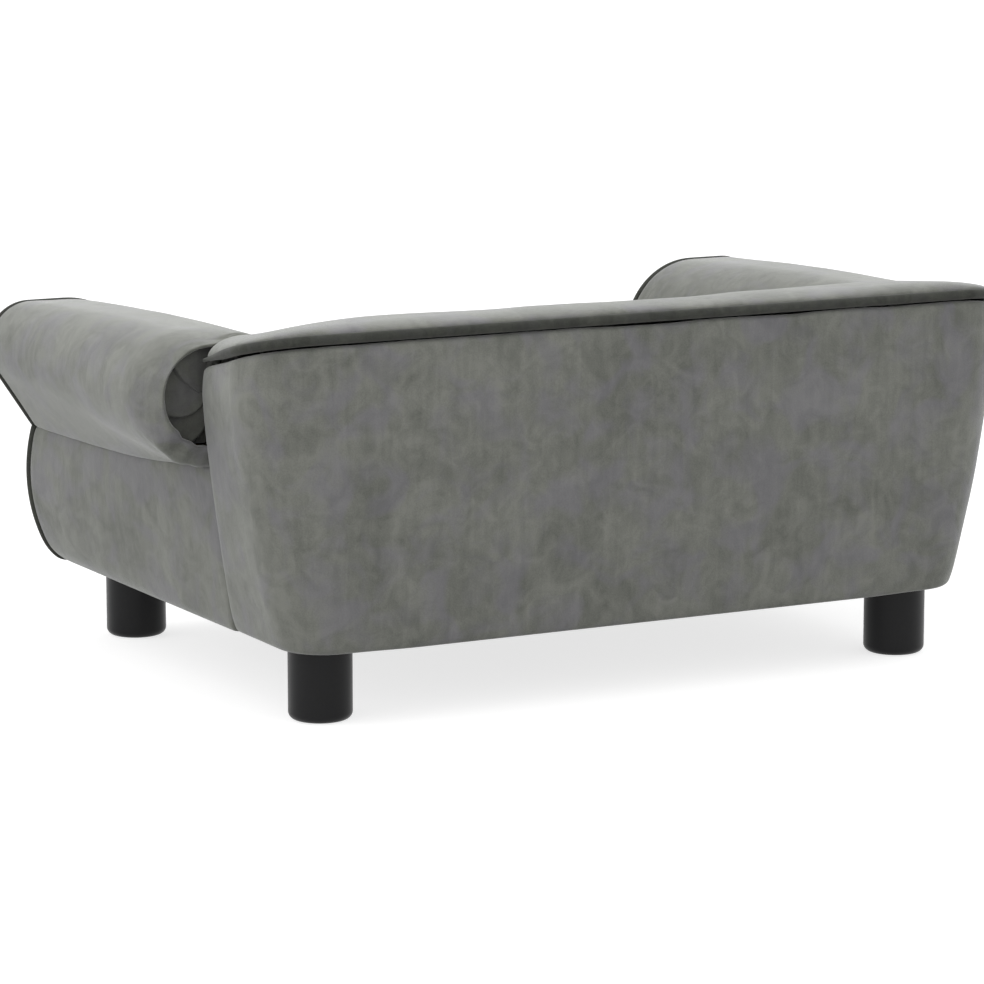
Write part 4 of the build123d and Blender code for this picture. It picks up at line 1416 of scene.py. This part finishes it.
@dataclass(frozen=True)
class Cushion:
    """The loose seat cushion: foam-filled cover, two pipings and the zip in its rear boxing.

    seam_reach, edge_reach and base_reach say how near to a seam's height, to the seam in plan and to
    the base a point of the cover is held while it is filled, and base_hold how firmly at the base.
    """

    plan: Plan
    wardrobe: Wardrobe
    piping_radius: float = 2.5 * MM
    piping_gap: float = 0.3 * MM
    piping_sink: float = 0.3 * MM
    draw: float = 5 * MM
    front_corner: float = 24 * MM
    rear_corner: float = 38 * MM
    crown: float = 12 * MM
    crown_run: float = 150 * MM
    side_ease: float = 1.3 * MM
    rest_gap: float = 0.3 * MM
    voxel: float = 4.6 * MM
    seam_reach: float = 2.6 * MM
    edge_reach: float = 8 * MM
    base_reach: float = 1.5 * MM
    base_hold: float = 0.6
    base_rings: tuple[float, ...] = (150 * MM, 90 * MM, 40 * MM)
    crown_shares: tuple[float, ...] = (0.03, 0.08, 0.16, 0.28, 0.45, 0.7, 1.0)
    tape_wave: float = 0.15 * MM
    tape_swell: float = 9 * MM
    cap: float = 9 * MM
    pressure: float = 4.0
    frames: int = 20
    coil_pitch: float = 2.2 * MM
    coil_bevel: float = 0.2 * MM

    @property
    def seams(self) -> Pair:
        """Heights of the lower and the upper seam."""
        boxes = [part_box(f"cushion_piping_{name}") for name in ("bottom", "top")]
        lower, upper = [(low.z + high.z) / 2 for low, high in boxes]
        return lower, upper

    def outline(self, inset: float, corner_keep: float = 1.0) -> list[Pair]:
        """Plan of the cushion: front and sides draw in between the corners, the rear is straight.

        Args:
            inset: Distance inside the seam line.
            corner_keep: Share of its radius that a corner keeps.

        Returns:
            The points of the closed outline, anticlockwise from the front left.
        """
        low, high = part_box("cushion_piping_top")
        reach = 2 * self.piping_radius + self.piping_gap
        half = high.x - reach + self.side_ease - inset
        front, rear = low.y + reach + inset, high.y - reach - inset
        ends = (self.front_corner * corner_keep, self.rear_corner * corner_keep)
        sides = (
            ((-half, front), (half, front), ends[0], ends[0], (0.0, self.draw)),
            ((half, front), (half, rear), ends[0], ends[1], (-self.draw, 0.0)),
            ((half, rear), (-half, rear), ends[1], ends[1], (0.0, 0.0)),
            ((-half, rear), (-half, front), ends[1], ends[0], (self.draw, 0.0)),
        )
        points: list[Pair] = []
        for start, end, first, last, inward in sides:
            line = Vector(end) - Vector(start)
            along = line.normalized()
            left = Vector((-along.y, along.x))
            for share in spread(first / line.length, 1 - last / line.length, 40)[:-1]:
                bow = 4 * share * (1 - share)
                point = Vector(start) + line * share + Vector(inward) * bow
                points.append((point.x, point.y))
            middle = Vector(end) - along * last + left * last
            bow = 4 * (1 - last / line.length) * (last / line.length)
            turn = atan2(-left.y, -left.x)
            bend = arc((middle.x, middle.y), last, turn, turn + pi / 2, 8)[:-1]
            points += [(x + inward[0] * bow * share, y + inward[1] * bow * share)
                       for (x, y), share in zip(bend, spread(1, 0, 7))]
        return points

    def form(self) -> bpy.types.Object:
        """The cushion's closed form before it is filled: flat below, upright boxing, a low crown."""
        low_seam, high_seam = self.seams
        base = self.plan.deck + self.rest_gap
        rings = [(inset, base, 0.6) for inset in self.base_rings]
        rings += [(12 * MM, base, 0.9), (4 * MM, base + 0.5 * MM, 1.0), (0.6 * MM, base + 3 * MM, 1.0)]
        rings += [(0.0, z, 1.0) for z in spread(low_seam, high_seam, 9)]
        for share in self.crown_shares:
            rise = sqrt(1 - (1 - share) ** 2.4)
            rings.append((self.crown_run * share, high_seam + self.crown * rise, 1 - 0.5 * share))
        skin = Skin(closed=True)
        for inset, z, keep in rings:
            skin.add([Vector((x, y, z)) for x, y in self.outline(inset, keep)])
        skin.close_both()
        bmesh.ops.recalc_face_normals(skin.mesh, faces=skin.mesh.faces)
        return skin.build("seat_cushion_cover")

    def fill(self, piece: bpy.types.Object) -> None:
        """Blows the cover up against its sewn seams by a cloth simulation.

        Args:
            piece: The cushion's form.
        """
        view = bpy.context.view_layer
        view.objects.active = piece
        grid = piece.modifiers.new("even_mesh", "REMESH")
        grid.mode = "VOXEL"
        grid.voxel_size = self.voxel
        bpy.ops.object.modifier_apply(modifier=grid.name)
        seams = self.seams
        pins = piece.vertex_groups.new(name="sewn_seams")
        edge = [Vector((x, y)) for x, y in self.outline(0.0)]
        start = [vert.co.copy() for vert in piece.data.vertices]
        base = self.plan.deck + self.rest_gap
        for index, place in enumerate(start):
            flat = Vector((place.x, place.y))
            sewn = min(abs(place.z - seam) for seam in seams) < self.seam_reach
            if sewn and min((flat - point).length for point in edge) < self.edge_reach:
                pins.add([index], 1.0, "ADD")
            elif place.z < base + self.base_reach:
                pins.add([index], self.base_hold, "ADD")
        cloth = piece.modifiers.new("filling", "CLOTH")
        cloth.settings.use_pressure = True
        cloth.settings.uniform_pressure_force = self.pressure
        cloth.settings.vertex_group_mass = pins.name
        cloth.settings.effector_weights.gravity = 0
        cloth.settings.quality = 5
        cloth.settings.mass = 0.3
        cloth.settings.tension_stiffness = 18
        cloth.settings.compression_stiffness = 18
        cloth.settings.shear_stiffness = 6
        cloth.settings.bending_stiffness = 0.4
        for frame in range(1, self.frames + 1):
            bpy.context.scene.frame_set(frame)
        bpy.ops.object.modifier_apply(modifier=cloth.name)
        for vert, place in zip(piece.data.vertices, start):
            move = vert.co - place
            if move.length > self.cap:
                vert.co = place + move.normalized() * self.cap
            vert.co.z = max(vert.co.z, base)
        bpy.context.scene.frame_set(1)
        piece.vertex_groups.clear()

    def cover(self) -> bpy.types.Object:
        """The filled cover."""
        piece = self.form()
        self.fill(piece)
        piece.data.shade_smooth()
        soften(piece)
        return piece

    def piping(self, name: str, z: float) -> bpy.types.Object:
        """The piping in one seam.

        Args:
            name: Name of the piece.
            z: Height of the seam.

        Returns:
            The piping.
        """
        path = [Vector((x, y, z)) for x, y in self.outline(self.piping_sink)]
        piece = tube(path, lambda share: self.piping_radius, closed=True, sides=12).build(name)
        soften(piece)
        return piece

    def zip_band(self) -> bpy.types.Object:
        """The woven tape of the zip, parted along the coil."""
        low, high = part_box("zip_tape")
        skin = Skin(closed=True)
        for x in spread(low.x, high.x, 60):
            rear = high.y + self.tape_wave * sin(x / self.tape_swell)
            line = [(rear, 0.0), (rear + 0.2 * MM, 0.42), (high.y - 0.4 * MM, 0.5), (rear + 0.2 * MM, 0.58),
                    (rear, 1.0), (low.y, 1.0), (low.y, 0.0)]
            skin.add([Vector((x, y, lerp(low.z, high.z, share))) for y, share in line])
        skin.close_both()
        bmesh.ops.recalc_face_normals(skin.mesh, faces=skin.mesh.faces)
        return skin.build("zip_woven_tape")

    def zip_coil(self) -> bpy.types.Object:
        """The two nylon coils, as rows of small loops that mesh."""
        low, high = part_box("zip_teeth")
        mesh = bmesh.new()
        count = int((high.x - low.x) / self.coil_pitch)
        for index in range(count):
            x = low.x + (index + 0.5) * self.coil_pitch
            for side in (-1, 1):
                middle = Vector((x + side * self.coil_pitch / 4, (low.y + high.y) / 2,
                                 (low.z + high.z) / 2 + side * (high.z - low.z) / 8))
                size = Matrix.Diagonal((0.42 * self.coil_pitch, high.y - low.y, 0.75 * (high.z - low.z), 1))
                made = bmesh.ops.create_cube(mesh, size=1, matrix=Matrix.Translation(middle) @ size)
                edges = list({edge for vert in made["verts"] for edge in vert.link_edges
                              if abs((edge.verts[0].co - edge.verts[1].co).y) < 1e-6})
                bmesh.ops.bevel(mesh, geom=edges, offset=self.coil_bevel, segments=1, profile=0.5,
                                affect="EDGES", material=-1)
        return mesh_object("zip_nylon_coil", mesh)

    def build(self) -> None:
        """Makes and places every piece of the cushion."""
        body = "seat_cushion"
        low_seam, high_seam = self.seams
        cover = place_piece(self.cover(), self.wardrobe.plush, body,
                            ["cushion_cover", "cushion_foam"])
        place_piece(self.piping("cushion_piping_upper", high_seam), self.wardrobe.piping, body,
                    ["cushion_piping_top"])
        place_piece(self.piping("cushion_piping_lower", low_seam), self.wardrobe.piping, body,
                    ["cushion_piping_bottom"])
        place_piece(self.zip_band(), self.wardrobe.zip_cloth, body, ["zip_tape"])
        place_piece(self.zip_coil(), self.wardrobe.zip_nylon, body, ["zip_teeth"])


@dataclass(frozen=True)
class Studio:
    """Pale floor, soft light and the camera at the photograph's angle.

    Each lamp has a name, a place and a power in watts.
    """

    lens: float = 150.77
    place: tuple[float, float, float] = (1.5355, 2.8467, 0.6901)
    pitch: float = radians(9.947)
    swing: float = radians(28.019)
    floor_half: float = 30.0
    floor_gap: float = 0.3 * MM
    floor_shade: Colour = (0.5, 0.5, 0.5)
    floor_glow: float = 0.74
    world_strength: float = 1.0
    lamp_size: float = 1.6
    lamp_target: tuple[float, float, float] = (0.0, 0.0, 0.15)
    lamps: tuple[tuple[str, tuple[float, float, float], float], ...] = (
        ("overhead", (0.4, -0.9, 2.6), 5.0), ("arm_side", (3.2, -0.4, 1.4), 13.0),
    )

    def camera(self) -> None:
        """Sets the camera."""
        data = bpy.data.cameras.new("photo_camera")
        data.lens = self.lens
        data.sensor_width = 36.0
        data.clip_end = 200.0
        camera = new_object("photo_camera", data)
        camera.location = self.place
        camera.rotation_euler = Euler((pi / 2 - self.pitch, 0.0, pi - self.swing))
        bpy.context.scene.camera = camera

    def white_to_camera(self, graph: Graph) -> bpy.types.NodeSocket:
        """1 for rays that show the background directly, in a mirror or through glass."""
        rays = graph.node("ShaderNodeLightPath").outputs
        seen = graph.math("MAXIMUM", rays["Is Camera Ray"], rays["Is Glossy Ray"])
        return graph.math("MAXIMUM", seen, rays["Is Transmission Ray"])

    def floor(self) -> None:
        """Lays a pale floor that shows white and keeps the shadow."""
        mesh = bmesh.new()
        below = Matrix.Translation((0.0, 0.0, -self.floor_gap))
        bmesh.ops.create_grid(mesh, x_segments=1, y_segments=1, size=self.floor_half, matrix=below)
        floor = mesh_object("studio_floor", mesh)
        material, graph, shader = new_material("pale_floor", (0.8, 0.8, 0.8))
        shade = rgba(self.floor_shade)
        graph.feed(shader, {"Base Color": shade, "Roughness": 1.0, "Specular IOR Level": 0.0})
        glow = graph.node("ShaderNodeEmission", {"Color": WHITE, "Strength": self.floor_glow})
        dark = graph.node("ShaderNodeEmission", {"Strength": 0.0})
        shown = graph.node("ShaderNodeMixShader", {0: self.white_to_camera(graph), 1: dark.outputs[0],
                                                   2: glow.outputs[0]})
        both = graph.node("ShaderNodeAddShader", {0: shader.outputs[0], 1: shown.outputs[0]})
        graph.feed(graph.tree.nodes["Material Output"], {"Surface": both.outputs[0]})
        floor.data.materials.append(material)

    def lamp(self, name: str, place: Vector, power: float) -> None:
        """Hangs a soft square lamp that shines at the sofa.

        Args:
            name: Its name.
            place: Where it hangs.
            power: Its power in watts.
        """
        data = bpy.data.lights.new(name, "AREA")
        data.size = self.lamp_size
        data.energy = power
        lamp = new_object(name, data)
        lamp.location = place
        lamp.rotation_euler = (Vector(self.lamp_target) - place).to_track_quat("-Z", "Y").to_euler()

    def light(self) -> None:
        """Sets the world and the lamps."""
        world = bpy.data.worlds.new("studio")
        bpy.context.scene.world = world
        world.use_nodes = True
        graph = Graph(world.node_tree)
        strength = graph.remap(self.white_to_camera(graph), 0.0, 1.0, self.world_strength, 1.0)
        graph.feed(world.node_tree.nodes["Background"], {"Color": WHITE, "Strength": strength})
        for name, place, power in self.lamps:
            self.lamp(name, Vector(place), power)
        bpy.context.scene.view_settings.view_transform = "Standard"

    def build(self) -> None:
        """Sets the whole stage."""
        self.camera()
        self.floor()
        self.light()


def dress_nodes(frame: dict, wardrobe: Wardrobe) -> None:
    """Gives every node of the frame the full material of its slot.

    Args:
        frame: What the frame loader returned.
        wardrobe: The finishes.
    """
    materials = wardrobe.by_slot()
    for part in frame["record"]["subparts"]:
        node = frame["nodes"][part["node"]]
        for slot in node.material_slots:
            slot.material = materials[part["material_slot"]]


def main() -> None:
    """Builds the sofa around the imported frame."""
    logging.basicConfig(level=logging.INFO, format="%(name)s: %(message)s")
    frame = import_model()
    wardrobe = Wardrobe()
    dress_nodes(frame, wardrobe)
    plan = Plan.from_frame()
    Studio().build()
    for side in Side:
        Arm(plan, wardrobe, side).build()
    Back(plan, wardrobe).build()
    SeatBase(plan, wardrobe).build()
    Cushion(plan, wardrobe).build()


if __name__ == "__main__":
    main()
